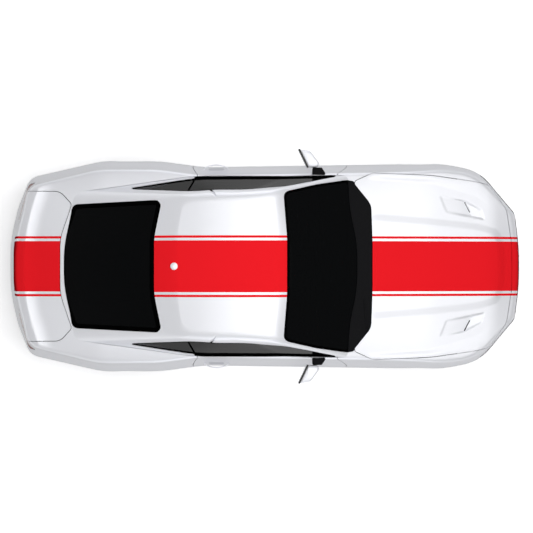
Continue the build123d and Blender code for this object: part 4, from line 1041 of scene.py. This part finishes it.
face_turn = math.degrees(math.atan2(forward[1], forward[0]))
face = moved(face, (*face_mid, sum(MIRROR_Z) / 2), face_turn, "z")

HANDLE_X, HANDLE_Z, HANDLE_Y = (-560.0, -325.0), 801.0, 934.0
t = np.linspace(0, 1, 33)
handle_x = HANDLE_X[0] + (HANDLE_X[1] - HANDLE_X[0]) * t
foot_y = surface(door, "xz", handle_x, np.full(33, HANDLE_Z))
bow = (HANDLE_Y - foot_y + 5) * np.sin(np.pi * t) ** 0.6
handle_bar = bar(np.stack([handle_x, foot_y - 5 + bow, np.full(33, HANDLE_Z)], 1), 5.5, 12.0,
                 taper=0.55 + 0.45 * np.sin(np.pi * t) ** 0.3)
cup_rows = [(HANDLE_X[0] + 45, 770, 26), (HANDLE_X[1] - 45, 770, 26), (HANDLE_X[1] - 45, 832, 26),
            (HANDLE_X[0] + 45, 832, 26)]
# The cup is a thin sheet 0.6 mm over the door skin, painted light grey as the shade of a handle recess.
cup = offset(clip(door, field(door, "xz", cup_rows)), 0.6)

for side, turn in SIDES:
    body = f"door_{side}"
    piece(f"mirror_{side}.housing", turn(plate("xy", housing_rows, *MIRROR_Z, 26)), white_paint, body,
          [f"mirror_{side}"], 40)
    piece(f"mirror_{side}.rim", turn(plate("xy", rim_rows, MIRROR_Z[0] + 1, MIRROR_Z[1] - 1, 6)),
          gloss_black, body)
    piece(f"mirror_{side}.glass", turn(face), chrome, body)
    piece(f"mirror_{side}.arm", turn(plate("xy", ARM, 915, 1002, 9)), black_plastic, body)
    piece(f"door_{side}.handle", turn(handle_bar), white_paint, body, crease=50)
    # painted shade of the handle recess, on a sheet laid over the door
    piece(f"door_{side}.handle_cup", turn(shell(cup, 2.0)), shadow_grey, body)

# %% Lamps
lamp_front = clip(body_half, body_half[0][:, 0] - 1900)
lens_form = cut(lamp_front, (HEADLAMP, "yz", GLASS_GAP, True), HOOD_EDGE)
lens_edge = field(lens_form, "yz", HEADLAMP)
LAMP_BORDER, LAMP_DEPTH = 9.0, 70.0
lens = clip(lens_form, lens_edge - LAMP_BORDER)
lens_rim = clip(lens_form, LAMP_BORDER - lens_edge)
inner = lens_form[0].copy()
share = ramp(lens_edge, 0, 34.0) ** 0.6
inner -= np.array([1.0, 0, 0]) * (4 + LAMP_DEPTH * share)[:, None]
bowl = (inner, lens_form[1], lens_form[2])
# columns: distance out from the middle of the car, height, outer radius
BEAMS = ((575, 701, 33), (690, 707, 33))
beams, cups = [], []
for beam_y, beam_z, beam_r in BEAMS:
    beam_x = float(surface(lens_form, "yz", [beam_y], [beam_z])[0]) - 30
    cups.append(lathe(((-42, beam_r - 8), (-30, beam_r - 3), (0, beam_r), (3, beam_r + 3), (0, beam_r + 5),
                       (-45, beam_r + 2)),
                      (beam_x, beam_y, beam_z), "x", closed=True))
    beams.append(lathe([(14 * math.cos(a) - 20, (beam_r - 9) * math.sin(a))
                        for a in np.linspace(1.571, 0.02, 9)]
                       , (beam_x, beam_y, beam_z), "x"))
rear_form = clip(body_half, -2100 - body_half[0][:, 0])
red_form = cut(rear_form, (TAIL_LAMP, "yz", GLASS_GAP, True), lid_hole)
red_edge = field(red_form, "yz", TAIL_LAMP)
ribs = red_form[0] - red_form[1] * (3.5 * (np.sin(red_form[0][:, 2:3] * np.pi / 9) > 0.55)
                                    * (red_edge[:, None] > 12))
lamp_parts = (
    ("headlamps.lens", offset(lens, -1.0), 3.0, lamp_glass, ["headlamps"], "headlamp_lens"),
    ("headlamps.edge", offset(lens_rim, -1.0), 3.0, glass_black, [], "black_plastic"),
    ("headlamps.bowl", bowl, 2.0, bowl_black, [], "black_plastic"),
    ("tail_lamps.lens", clip((ribs, red_form[1], red_form[2]), red_edge - 7), 5.0, red_lens, ["tail_lamps"],
     "tail_lamp_lens"),
    ("tail_lamps.edge", clip(red_form, 7 - red_edge), 8.0, gloss_black, [], "black_plastic"),
)
for name, mesh, thick, mat, replaced, slot_name in lamp_parts:
    piece(name, merged([shell(mesh, thick), shell(mirror(mesh), thick)]), mat, "body", replaced)
for name, parts, mat in (("headlamps.rings", cups, chrome), ("headlamps.projectors", beams, lens_clear)):
    piece(name, merged(parts + [mirror(m) for m in parts]), mat, "body", crease=40)

# %% Grilles
CELL, STRUT, STRUT_DEPTH = 30.0, 3.2, 14.0


def honeycomb(rows):
    """Hexagonal cells inside an outline of the nose: each edge is a flat bar set a little behind the skin."""
    tall = CELL * math.sqrt(3) / 2
    column, row = np.meshgrid(np.arange(-40, 41), np.arange(0, 40), indexing="ij")
    middle_y = column.ravel() * CELL * 0.75
    middle_z = 230 + (row.ravel() + 0.5 * (column.ravel() % 2)) * tall
    angles = np.radians((0, 60, 120, 180))
    start, end = [], []
    for a, b in zip(angles[:-1], angles[1:]):
        start.append(np.stack([middle_y + CELL / 2 * np.cos(a), middle_z + CELL / 2 * np.sin(a)], 1))
        end.append(np.stack([middle_y + CELL / 2 * np.cos(b), middle_z + CELL / 2 * np.sin(b)], 1))
    start, end = np.concatenate(start), np.concatenate(end)
    mid = (start + end) / 2
    points, radii = mirrored([(b, a, r) for a, b, r in rows])
    outline = rounded([(b, a) for a, b in points], radii)
    keep = signed_distance(outline, mid[:, 0], mid[:, 1]) > -CELL * 0.35
    start, end = start[keep], end[keep]
    way = (end - start) / np.linalg.norm(end - start, axis=1)[:, None]
    across_way = np.stack([-way[:, 1], way[:, 0]], 1) * STRUT / 2
    quad = np.stack([start - across_way, end - across_way, end + across_way, start + across_way], 1)
    flat = quad.reshape(-1, 2)
    front = surface(nose_form, "yz", np.abs(flat[:, 0]), flat[:, 1]) - 16
    near = np.concatenate([front[:, None], flat], 1).reshape(-1, 4, 3)
    far = near - np.array([STRUT_DEPTH, 0, 0])
    points = np.concatenate([near, far], 1).reshape(-1, 3)
    faces = np.array([(0, 1, 2), (0, 2, 3), (4, 6, 5), (4, 7, 6), (0, 4, 5), (0, 5, 1), (1, 5, 6), (1, 6, 2),
                      (2, 6, 7), (2, 7, 3), (3, 7, 4), (3, 4, 0)])
    triangles = (np.arange(len(near))[:, None, None] * 8 + faces).reshape(-1, 3)
    return points, np.zeros_like(points), triangles


def surround(rows, half):
    """A round bar along the edge of a hole in the nose."""
    points, radii = mirrored([(b, a, r) for a, b, r in rows])
    line = rounded([(b, a) for a, b in points], radii, 8)
    steps = np.concatenate([[0], np.cumsum(np.linalg.norm(np.diff(np.vstack([line, line[:1]]), axis=0),
                                                          axis=1))])
    at = np.arange(0, steps[-1], 12.0)
    line = np.stack([np.interp(at, steps, np.append(line[:, k], line[0, k])) for k in (0, 1)], 1)
    x = surface(nose_form, "yz", np.abs(line[:, 0]), line[:, 1]) - 9
    angle = np.linspace(0, 2 * np.pi, 8, endpoint=False)
    out = np.roll(line, -1, 0) - np.roll(line, 1, 0)
    out = np.stack([out[:, 1], -out[:, 0]], 1) / np.linalg.norm(out, axis=1)[:, None]
    rings = np.zeros((len(line), 8, 3))
    rings[..., 0] = x[:, None] + half * 1.3 * np.sin(angle)
    rings[..., 1:] = line[:, None] + out[:, None] * (half * np.cos(angle))[:, None]
    return stack(rings, closed=True)


nose_form = clip(body_half, body_half[0][:, 0] - 1950)
GRILLES = (("upper", GRILLE_UPPER), ("lower", GRILLE_LOWER))
for name, rows in GRILLES:
    piece(f"grille_{name}.mesh", honeycomb(rows), black_plastic, "body",
          ["grille"] if name == "upper" else [])
    piece(f"grille_{name}.surround", surround(rows, 6.0), gloss_black, "body")

# %% Antenna and wipers
ANTENNA_X, ANTENNA_RADIUS = -795.0, 33.0
top = float(crown(np.array([ANTENNA_X]), np.array([0.0]))[0])
dome = [(-6, 1), (-6, ANTENNA_RADIUS), (2, ANTENNA_RADIUS), (6, ANTENNA_RADIUS - 2),
        (8, ANTENNA_RADIUS - 8), (9, 1)]
piece("roof_antenna.cap", lathe(dome, (ANTENNA_X, 0, top), "z"), white_paint, "body", ["roof_antenna"],
      40)
# columns: pivot x and y, then where the blade starts and ends
WIPERS = (((925, -560), (905, -470), (880, 130)), ((948, 30), (925, 120), (835, 680)))
parts = []
for pivot, begin, end in WIPERS:
    line = np.array([np.array(begin) + (np.array(end) - begin) * s for s in np.linspace(0, 1, 21)])
    z = surface(windshield, "xy", line[:, 0], np.abs(line[:, 1])) + 7
    parts.append(bar(np.column_stack([line, z]), 5.0, 5.0, 8))
    middle_point = np.append(line[10], z[10] + 8)
    hub = np.array([*pivot, 985.0])
    arm_line = [hub + (middle_point - hub) * s + np.array([0, 0, 14]) * math.sin(math.pi * s)
                for s in np.linspace(0, 1, 15)]
    parts.append(bar(arm_line, 7.0, 4.0, 8, taper=np.linspace(1.3, 0.7, 15)))
    parts.append(lathe([(-25, 14), (0, 14), (6, 9)], hub, "z", 20))
piece("wipers.pair", merged(parts), black_plastic, "body", crease=40)
print("trim done")
# %% [markdown]
# ## Grille backs, plate and valance
# Dark panels close the view through the grilles. The rear bumper has a recess with a blank plate, a black
# valance with fins, two reflectors and the bright tips of the exhaust.

# %% Behind the grilles
for name, rows in GRILLES:
    back = moved(clip(nose_form, field(nose_form, "yz", rows, 10.0, both=True)), (-46, 0, 0))
    piece(f"grille_{name}.back", shell(join(back, mirror(back)), 3.0), black_plastic, "body")

# %% Rear bumper
tray = offset(clip(tail_form, field(tail_form, "yz", PLATE, 12.0, both=True)), -16.0)
piece("tail.plate_tray", shell(join(tray, mirror(tray)), 2.0), black_plastic, "body")
PLATE_HALF, PLATE_Z, PLATE_SEAT_Z, PLATE_SUNK = 152, (397, 549), 470.0, 10
plate_x = float(surface(tail_form, "yz", [0.0], [PLATE_SEAT_Z])[0]) + PLATE_SUNK
piece("tail.plate", plate("yz", corners((-PLATE_HALF, PLATE_HALF), PLATE_Z, 10), plate_x, plate_x + 3, 1.0),
      plate_white,
      "body")
valance = cut(tail_form, (VALANCE, "yz", SEAM, True))
tip_gap = np.hypot(valance[0][:, 1] - TIP_Y, valance[0][:, 2] - TIP_Z) - TIP_RADIUS - 6
valance = offset(clip(valance, tip_gap), -7.0)
fins = []
FIN_DEPTH, FIN_HALF, FIN_PLACES = 24, 5, (0, 130, 260, 390)
fin_z = np.linspace(178, 290, 9)
for fin_y in FIN_PLACES:
    edge = surface(tail_form, "yz", np.full(9, fin_y), fin_z) + 1
    rows = [(x, z, 0) for x, z in zip(edge, fin_z)]
    rows += [(x + FIN_DEPTH, z, 0) for x, z, _ in rows[::-1]]
    fins.append(plate("xz", rows, fin_y - FIN_HALF, fin_y + FIN_HALF, 1.5))
fins += [mirror(fin) for fin in fins[1:]]
piece("tail.valance", shell(join(valance, mirror(valance)), 4.0), black_plastic, "body")
piece("tail.fins", merged(fins), black_plastic, "body", crease=40)
reflector = offset(cut(tail_form, (REFLECTOR, "yz", SEAM, True)), -1.5)
piece("tail.reflectors", merged([shell(reflector, 4.0), shell(mirror(reflector), 4.0)]), red_lens, "body")
tip = lathe([(95, TIP_RADIUS - 7), (0, TIP_RADIUS - 6), (-3, TIP_RADIUS - 3), (0, TIP_RADIUS),
             (95, TIP_RADIUS - 2)],
            (TIP_END_X, TIP_Y, TIP_Z), "x", 48, closed=True)
piece("exhaust.tips", merged([tip, mirror(tip)]), chrome, "body", crease=40)
print("ends done")

# %% [markdown]
# ## Wheels
# A tyre is a turned section with grooves and sipes pressed into its tread; cap, lug nuts and machined
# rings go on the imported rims.

# %% Tyres
TYRE_RADIUS = AXLE_Z
# columns: name, x of the axle, y of the tyre's middle, width
WHEELS = (
    ("front", FRONT_AXLE_X, float(middle("tyre_front_left")[1]), 250.0),
    ("rear", REAR_AXLE_X, float(middle("tyre_rear_left")[1]), 270.0),
)
GROOVES = (-0.22, -0.075, 0.075, 0.22)  # share of the width
GROOVE_HALF, GROOVE_DEPTH, SIPES = 5.0, 7.0, 64


def tyre(width):
    """Section: bead, bulged wall with a rim guard, shoulder and tread; grooves run round, sipes across."""
    half = np.array([(236.5, 0.395), (240, 0.41), (250, 0.452), (262, 0.478), (282, 0.496), (302, 0.494),
                     (320, 0.478),
                     (332, 0.455), (339, 0.425), (342.5, 0.39)])
    side = np.stack([half[:, 1] * width, half[:, 0]], 1)
    tread_at = np.linspace(0.37, -0.37, 61) * width
    tread = np.stack([tread_at, TYRE_RADIUS - 0.4 - 2.2 * (tread_at / (0.37 * width)) ** 4], 1)
    inside = np.array([(-0.38 * width, 252), (-0.2 * width, 262), (0.2 * width, 262), (0.38 * width, 252)])
    profile = np.concatenate([side, tread, side[::-1] * [-1, 1], inside])
    count = SIPES * 4
    mesh = lathe(profile, (0, 0, 0), "y", count, closed=True)
    points = mesh[0].reshape(len(profile), count, 3).copy()
    across_by, turn = profile[:, 0], np.arange(count)
    depth = np.zeros((len(profile), count))
    on_tread = (np.abs(across_by) < 0.375 * width) & (profile[:, 1] > 330)
    for share in GROOVES:
        depth[on_tread & (np.abs(across_by - share * width) < GROOVE_HALF)] = GROOVE_DEPTH
    outer = on_tread & (np.abs(across_by) > 0.24 * width)
    depth[np.ix_(outer, turn % 4 == 0)] = GROOVE_DEPTH * 0.8
    blocks = on_tread & (np.abs(across_by) < 0.2 * width) & (depth[:, 1] == 0)
    depth[np.ix_(blocks, turn % 8 == 3)] = GROOVE_DEPTH * 0.5
    radius = np.hypot(points[..., 0], points[..., 2])
    points[..., [0, 2]] *= (1 - depth / radius)[..., None]
    points = points.reshape(-1, 3)
    return points, normals_of(points, mesh[2]), mesh[2]


# %% Hub caps, lug nuts and machined rings
LUGS, LUG_CIRCLE = 5, 57.0


def hub_parts(width):
    """Centre cap and five nuts on the wheel's face, and a machined ring at hub and rim."""
    face = 0.3 * width
    cap = lathe([(face - 14, 31), (face - 2, 31), (face + 3, 28), (face + 5, 20), (face + 5.5, 1)],
                (0, 0, 0), "y", 36)
    nuts = []
    for k in range(LUGS):
        a = 2 * math.pi * (k + 0.5) / LUGS
        nuts.append(lathe([(face - 6, 11), (face + 9, 10.5), (face + 13, 7)],
                          (LUG_CIRCLE * math.cos(a), 0, LUG_CIRCLE * math.sin(a)), "y", 6))
    rings = [lathe([(face - 1, r), (face + 2, r + 1), (face + 2, r + 5), (face - 1, r + 6)], (0, 0, 0), "y",
                   72, True)
             for r in (66, 222)]
    return merged([cap, *nuts]), merged(rings)


for name, x, y, width in WHEELS:
    rubber, (nuts, rings) = tyre(width), hub_parts(width)
    for side, turn in SIDES:
        body = f"wheel_{name}_{side}"
        place = (x, y, AXLE_Z)
        piece(f"tyre_{name}_{side}.tread", turn(moved(rubber, place)), tyre_rubber, body,
              [f"tyre_{name}_{side}"],
              28)
        piece(f"rim_{name}_{side}.nuts", turn(moved(nuts, place)), chrome, body,
              crease=30)
        piece(f"rim_{name}_{side}.rings", turn(moved(rings, place)), bright_edge, body,
              crease=30)

# %% Brakes and arch liners
# columns: name, x of the axle, y of the disc's middle, inner end and radius of the liner
BRAKES = (("front", FRONT_AXLE_X, 704.0, 664.0, FRONT_ARCH - 4),
          ("rear", REAR_AXLE_X, 722.0, 612.0, REAR_ARCH - 4))
DISC_RADIUS, DISC_HALF, HAT_RADIUS = 172.0, 12.0, 88.0


def arc_block(along, radii, degrees, steps):
    """A block bent round the axle: its ends along y, its two radii and its first and last angles."""
    corners_of = list(zip((*along, *along[::-1]), np.repeat(radii, 2)))
    rings = []
    for a in np.radians(np.linspace(*degrees, steps)):
        rings.append([(r * math.cos(a), y, r * math.sin(a)) for y, r in corners_of])
    return stack(rings)


for name, x, y, liner_y, liner_radius in BRAKES:
    disc = lathe([(y + DISC_HALF, 60), (y + DISC_HALF, DISC_RADIUS), (y - DISC_HALF, DISC_RADIUS),
                  (y - DISC_HALF, 60)],
                 (x, 0, AXLE_Z), "y", 72, closed=True)
    hat = lathe([(y + 28, 58), (y + 28, HAT_RADIUS - 4), (y + 24, HAT_RADIUS), (y, HAT_RADIUS), (y, 58)],
                (x, 0, AXLE_Z), "y", 48, closed=True)
    degrees = (150, 210) if name == "front" else (-30, 30)
    caliper = merged([moved(arc_block(*shape, degrees, 15), (x, 0, AXLE_Z)) for shape in (
        ((y - 38, y - 17), (108, 196)), ((y + 17, y + 36), (112, 196)), ((y - 38, y + 36), (180, 200)))])
    liner = moved(arc_block((liner_y, 898.0), (liner_radius - 3, liner_radius), (-27, 207), 79),
                  (x, 0, AXLE_Z))
    for side, turn in SIDES:
        holder = f"knuckle_{side}" if name == "front" else "body"
        piece(f"brake_{name}_{side}.disc", turn(merged([disc, hat])), brake_steel, f"wheel_{name}_{side}",
              crease=30)
        piece(f"brake_{name}_{side}.caliper", turn(caliper), caliper_red, holder,
              crease=30)
        piece(f"liner_{name}_{side}.sheet", turn(liner), black_plastic, "body",
              crease=30)
print("wheels done")

# %% [markdown]
# ## Cabin
# A cushion is a stuffed block: a cube's grid is drawn to a rounded form, its sides are pulled in between its
# corners, its top is crowned and the sewn channels are pressed into it.

# %% Cushions


def stuffed(size, channels=(), power=4.5, crown=8.0, pull=0.05, seam=4.0, count=26):
    """Cube points scaled to |x|^p + |y|^p + |z|^p = 1 and then to the half sizes; z is the padded face."""
    line = np.linspace(-1, 1, count)
    u, v = np.meshgrid(line, line, indexing="ij")
    meshes = []
    for axis in range(3):
        for sign in (1, -1):
            grid = np.zeros((count, count, 3))
            grid[..., axis] = sign
            grid[..., (axis + 1) % 3] = u if sign > 0 else v
            grid[..., (axis + 2) % 3] = v if sign > 0 else u
            meshes.append(grid_mesh(grid))
    points, normals, triangles = join(*[(m[0] * 1000, m[1], m[2]) for m in meshes])
    points = points / 1000
    points /= ((np.abs(points) ** power).sum(1) ** (1 / power))[:, None]
    x, y, z = points.T
    drawn = points.copy()
    drawn[:, 0] *= 1 - pull * (1 - y**2) * np.abs(x)
    drawn[:, 1] *= 1 - pull * (1 - x**2) * np.abs(y)
    drawn *= np.array(size, float)
    top = np.clip(z * 3, 0, 1)
    drawn[:, 2] += top * crown * (1 - x**2) * (1 - y**2)
    for axis, at in channels:
        gap = drawn[:, axis] - at
        drawn[:, 2] -= top * seam * np.exp(-((gap / 5.0) ** 2))
    welt = np.exp(-(((np.abs(z) - 0.62) / 0.05) ** 2))
    drawn[:, :2] *= (1 + 0.012 * welt)[:, None]
    return drawn, normals_of(drawn, triangles), triangles


def cushion(name, mesh, sides, replaced=()):
    """A padded piece on the body, for the seats on both sides of the car or one in the middle."""
    made = piece(name, merged([mesh, mirror(mesh)]) if sides else mesh, leather, "body", replaced,
                 60)
    return made


# columns: name, middle, half sizes, tilt about y, channels as axis and place
SEAT_Y = 395.0
SEAT_PARTS = (
    ("cushion", (155, SEAT_Y, 388), (232, 150, 62), -6.0, [(0, k) for k in (-120, -60, 0, 60, 120)]),
    ("wing_in", (150, SEAT_Y - 172, 398), (230, 40, 66), -6.0, []),
    ("wing_out", (150, SEAT_Y + 172, 398), (230, 40, 66), -6.0, []),
    ("back", (-168, SEAT_Y, 735), (285, 148, 50), -73.0, [(0, k) for k in (-200, -130, -60, 10, 80, 150)]),
    ("back_in", (-160, SEAT_Y - 170, 715), (262, 40, 64), -73.0, []),
    ("back_out", (-160, SEAT_Y + 170, 715), (262, 40, 64), -73.0, []),
    ("head", (-288, SEAT_Y, 1086), (66, 108, 34), -78.0, []),
)
for k, (name, at, half_size, tilt, channels) in enumerate(SEAT_PARTS):
    mesh = moved(stuffed(half_size, channels, count=26 if channels else 20), at, tilt)
    cushion(f"front_seats.{name}", mesh, True, ["front_seats"] if k == 0 else [])
base = plate("xy", corners((-140, 345), (225, 565), 30), 216, 330, 12)
piece("front_seats.base", merged([base, mirror(base)]), black_plastic, "body")
posts = [bar([(-262 - 6 * s, SEAT_Y + dy, 985 + 70 * s) for s in np.linspace(0, 1, 5)], 6, 6, 10)
         for dy in (-45, 45)]
piece("front_seats.posts", merged(posts + [mirror(p) for p in posts]), chrome, "body")
REAR_PARTS = (
    ("cushion", (-665, 312, 372), (175, 290, 74), -5.0, [(0, -60), (0, 40), (1, 0)]),
    ("back", (-912, 312, 650), (205, 290, 44), -79.0, [(0, -110), (0, -30), (0, 60), (1, 0)]),
)
for k, (name, at, half_size, tilt, channels) in enumerate(REAR_PARTS):
    cushion(f"rear_seat.{name}", moved(stuffed(half_size, channels), at, tilt), True,
            ["rear_seat"] if k == 0 else [])
armrest = plate("xz", [(-500, 330, 10), (-500, 425, 20), (-840, 425, 20), (-840, 430 - 90, 10)], -18, 18, 8)
cushion("rear_seat.divider", armrest, False)

# %% Dashboard, console and door trim
DASH = (
    (965, 645, 10), (965, 845, 5), (800, 846, 8), (788, 884, 20), (565, 889, 60), (478, 838, 45),
    (478, 705, 40), (562, 645, 30),
)
piece("dashboard.pad", plate("xz", DASH, -768, 768, 12), dash_vinyl, "body", ["dashboard"])
hood_rows = [(560, 862, 8), (560, 915, 30), (486, 928, 16), (478, 870, 10)]
parts = [plate("xz", hood_rows, 235, 505, 18),
         plate("xz", [(500, 700, 8), (500, 850, 8), (462, 842, 12), (468, 705, 12)], -150, 150, 12)]
piece("dashboard.binnacle", merged(parts), dash_vinyl, "body")
screen = moved(plate("yz", corners((-112, 112), (-52, 52), 10), -2, 3, 1.5), (462, 0, 785), 4.0)
piece("dashboard.screen", screen, gloss_black, "body")
rings = []
for y, z, r in ((700, 800, 38), (560, 800, 32), (-560, 800, 32), (-700, 800, 38), (320, 868, 44),
                (420, 868, 44)):
    rings.append(lathe([(-8, r - 8), (-8, r), (4, r), (4, r - 8)][::-1], (477, y, z), "x", 32, True))
piece("dashboard.rings", merged(rings), bright_edge, "body", crease=30)
tunnel = [(470, 424, 20), (470, 640, 40), (380, 610, 40), (60, 560, 60), (-430, 545, 60), (-460, 424, 20)]
piece("console.tunnel", plate("xz", tunnel, -105, 105, 16), dash_vinyl, "body")
shift = [bar([(150 - 20 * s, 0, 560 + 95 * s) for s in np.linspace(0, 1, 6)], 8, 8, 12),
         lathe([(0, 10), (8, 24), (28, 27), (44, 18), (48, 2)], (128, 0, 648), "z", 24)]
piece("console.shifter", merged(shift), leather_gloss, "body", crease=50)

TRIM_Y = (784.0, 818.0)
trim_rows = [(a, min(b, 905.0), r) for a, b, r in ((720, 250, 50), (720, 790, 100), (640, 905, 30),
                                                   (-588, 905, 30), (-625, 780, 160),
                                                   (-608, 430, 160), (-560, 250, 60))]
slab = plate("xz", trim_rows, *TRIM_Y, 14)
rest = plate("xz", [(330, 560, 20), (330, 622, 24), (-330, 640, 26), (-330, 575, 20)], 752, 800, 16)
pocket = plate("xz", [(420, 290, 20), (400, 400, 30), (-200, 400, 30), (-220, 290, 20)], 768, 800, 10)
for side, turn in SIDES:
    piece(f"door_{side}.trim", turn(slab), dash_vinyl, f"door_{side}")
    piece(f"door_{side}.armrest", turn(merged([rest, pocket])), black_plastic, f"door_{side}")
print("cabin done")
# %% [markdown]
# ## Camera, light and floor
# The camera hangs 13 m above the car and looks straight down.

# %% Camera
CAMERA_AT, CAMERA_LENS, CAMERA_SENSOR = (0.019, -0.002, 13.0), 89.4, 36.0  # metres, millimetres
camera_data = bpy.data.cameras.new("camera")
camera_data.sensor_width = CAMERA_SENSOR
camera_data.lens = CAMERA_LENS
camera = bpy.data.objects.new("camera", camera_data)
camera.location = CAMERA_AT
bpy.context.collection.objects.link(camera)
bpy.context.scene.camera = camera

# %% Light


def area_light(name, place, target, size, watts, colour="#ffffff"):
    """A square soft box aimed at a point."""
    data = bpy.data.lights.new(name, "AREA")
    data.size, data.energy, data.color = size, watts, linear(colour)[:3]
    lamp = bpy.data.objects.new(name, data)
    lamp.location = place
    lamp.rotation_euler = (Vector(target) - Vector(place)).to_track_quat("-Z", "Y").to_euler()
    bpy.context.collection.objects.link(lamp)
    return lamp


overhead = area_light("overhead", (1.3, 0.0, 8.5), (0.3, 0, 0.5), 6.0, 610.0)
overhead.visible_glossy = False  # the paint mirrors the white studio and not the lamp
for name, side in (("side_left", 1), ("side_right", -1)):
    area_light(name, (0.5, 6.0 * side, 3.2), (0, 0, 0.6), 4.0, 42.0, "#f4f6ff")

SKY_TOWARDS = (0.32, 0.0, 0.947)  # direction of its brightest part
SKY_FALL, SKY_RIM = (0.80, 0.952), (0.15, 0.5)  # cosines between which it dims, and brightens again
SKY_LOW, SKY_EDGE, SKY_FILL = 0.22, 0.95, 0.22  # dim band, horizon, and what it gives to matt surfaces
world = bpy.data.worlds.new("studio")
bpy.context.scene.world = world
world.use_nodes = True
tree = world.node_tree
background = tree.nodes["Background"]
# Mirror rays meet a sky that is bright overhead and a little forward, dim in a band below that, and bright
# again at the horizon; the floor looks pale grey to them.
path = node(tree, "ShaderNodeLightPath")
place = node(tree, "ShaderNodeTexCoord")
rise = node(tree, "ShaderNodeVectorMath", {0: place.outputs["Generated"], 1: SKY_TOWARDS},
            operation="DOT_PRODUCT")
top = node(tree, "ShaderNodeMapRange", {0: rise.outputs["Value"], 1: SKY_FALL[0], 2: SKY_FALL[1],
                                        3: SKY_LOW, 4: 1.0})
rim = node(tree, "ShaderNodeMapRange", {0: rise.outputs["Value"], 1: SKY_RIM[0], 2: SKY_RIM[1], 3: SKY_EDGE,
                                        4: SKY_LOW})
sky = node(tree, "ShaderNodeMath", {0: top.outputs[0], 1: rim.outputs[0]}, operation="MAXIMUM")
seen = node(tree, "ShaderNodeMath", {0: path.outputs["Is Glossy Ray"], 1: sky.outputs[0]},
            operation="MULTIPLY")
for ray in ("Is Camera Ray", "Is Transmission Ray"):
    seen = node(tree, "ShaderNodeMath", {0: seen.outputs[0], 1: path.outputs[ray]}, operation="MAXIMUM")
level = node(tree, "ShaderNodeMath", {0: seen.outputs[0], 1: SKY_FILL}, operation="MAXIMUM")
tree.links.new(level.outputs[0], background.inputs["Strength"])
background.inputs["Color"].default_value = linear("#ffffff")

# %% Floor
FLOOR_FADE = (2.8, 6.0)  # metres from the middle: the floor turns from lit white to plain white
FLOOR_LIFT, FLOOR_MIRRORED, FLOOR_REACH = 0.45, 0.75, 60  # added light, what the paint mirrors, half size
floor_mesh = bpy.data.meshes.new("floor")
floor_corners = [(x * FLOOR_REACH, y * FLOOR_REACH, 0) for x, y in ((-1, -1), (1, -1), (1, 1), (-1, 1))]
floor_mesh.from_pydata(floor_corners, [], [(0, 1, 2, 3)])
floor = bpy.data.objects.new("floor", floor_mesh)
bpy.context.collection.objects.link(floor)
floor_mat = bpy.data.materials.new("floor_white")
floor_mat.use_nodes = True
tree = floor_mat.node_tree
shader = tree.nodes["Principled BSDF"]
shader.inputs["Base Color"].default_value = linear("#fbfbfc")
shader.inputs["Roughness"].default_value = 0.9
place = node(tree, "ShaderNodeTexCoord")
far = node(tree, "ShaderNodeVectorMath", {0: place.outputs["Object"]}, operation="LENGTH")
fade = node(tree, "ShaderNodeMapRange", {0: far.outputs["Value"], 1: FLOOR_FADE[0], 2: FLOOR_FADE[1]})
path = node(tree, "ShaderNodeLightPath")
lift = node(tree, "ShaderNodeEmission", {"Color": linear("#ffffff"), "Strength": FLOOR_LIFT})
lit = node(tree, "ShaderNodeAddShader", {0: shader.outputs[0], 1: lift.outputs[0]})
white = node(tree, "ShaderNodeEmission", {"Color": linear("#ffffff"), "Strength": 1.0})
faded = node(tree, "ShaderNodeMixShader", {0: fade.outputs[0], 1: lit.outputs[0], 2: white.outputs[0]})
bounce = node(tree, "ShaderNodeBsdfDiffuse", {"Color": linear("#6c6c70")})
mirrored_floor = node(tree, "ShaderNodeEmission", {"Color": linear("#ffffff"), "Strength": FLOOR_MIRRORED})
bounce = node(tree, "ShaderNodeMixShader", {0: path.outputs["Is Glossy Ray"], 1: bounce.outputs[0],
                                            2: mirrored_floor.outputs[0]})
mix = node(tree, "ShaderNodeMixShader", {0: path.outputs["Is Camera Ray"], 1: bounce.outputs[0],
                                         2: faded.outputs[0]})
tree.links.new(mix.outputs[0], tree.nodes["Material Output"].inputs["Surface"])
floor_mesh.materials.append(floor_mat)

# %% Finish
bpy.context.scene.view_settings.view_transform = "Standard"
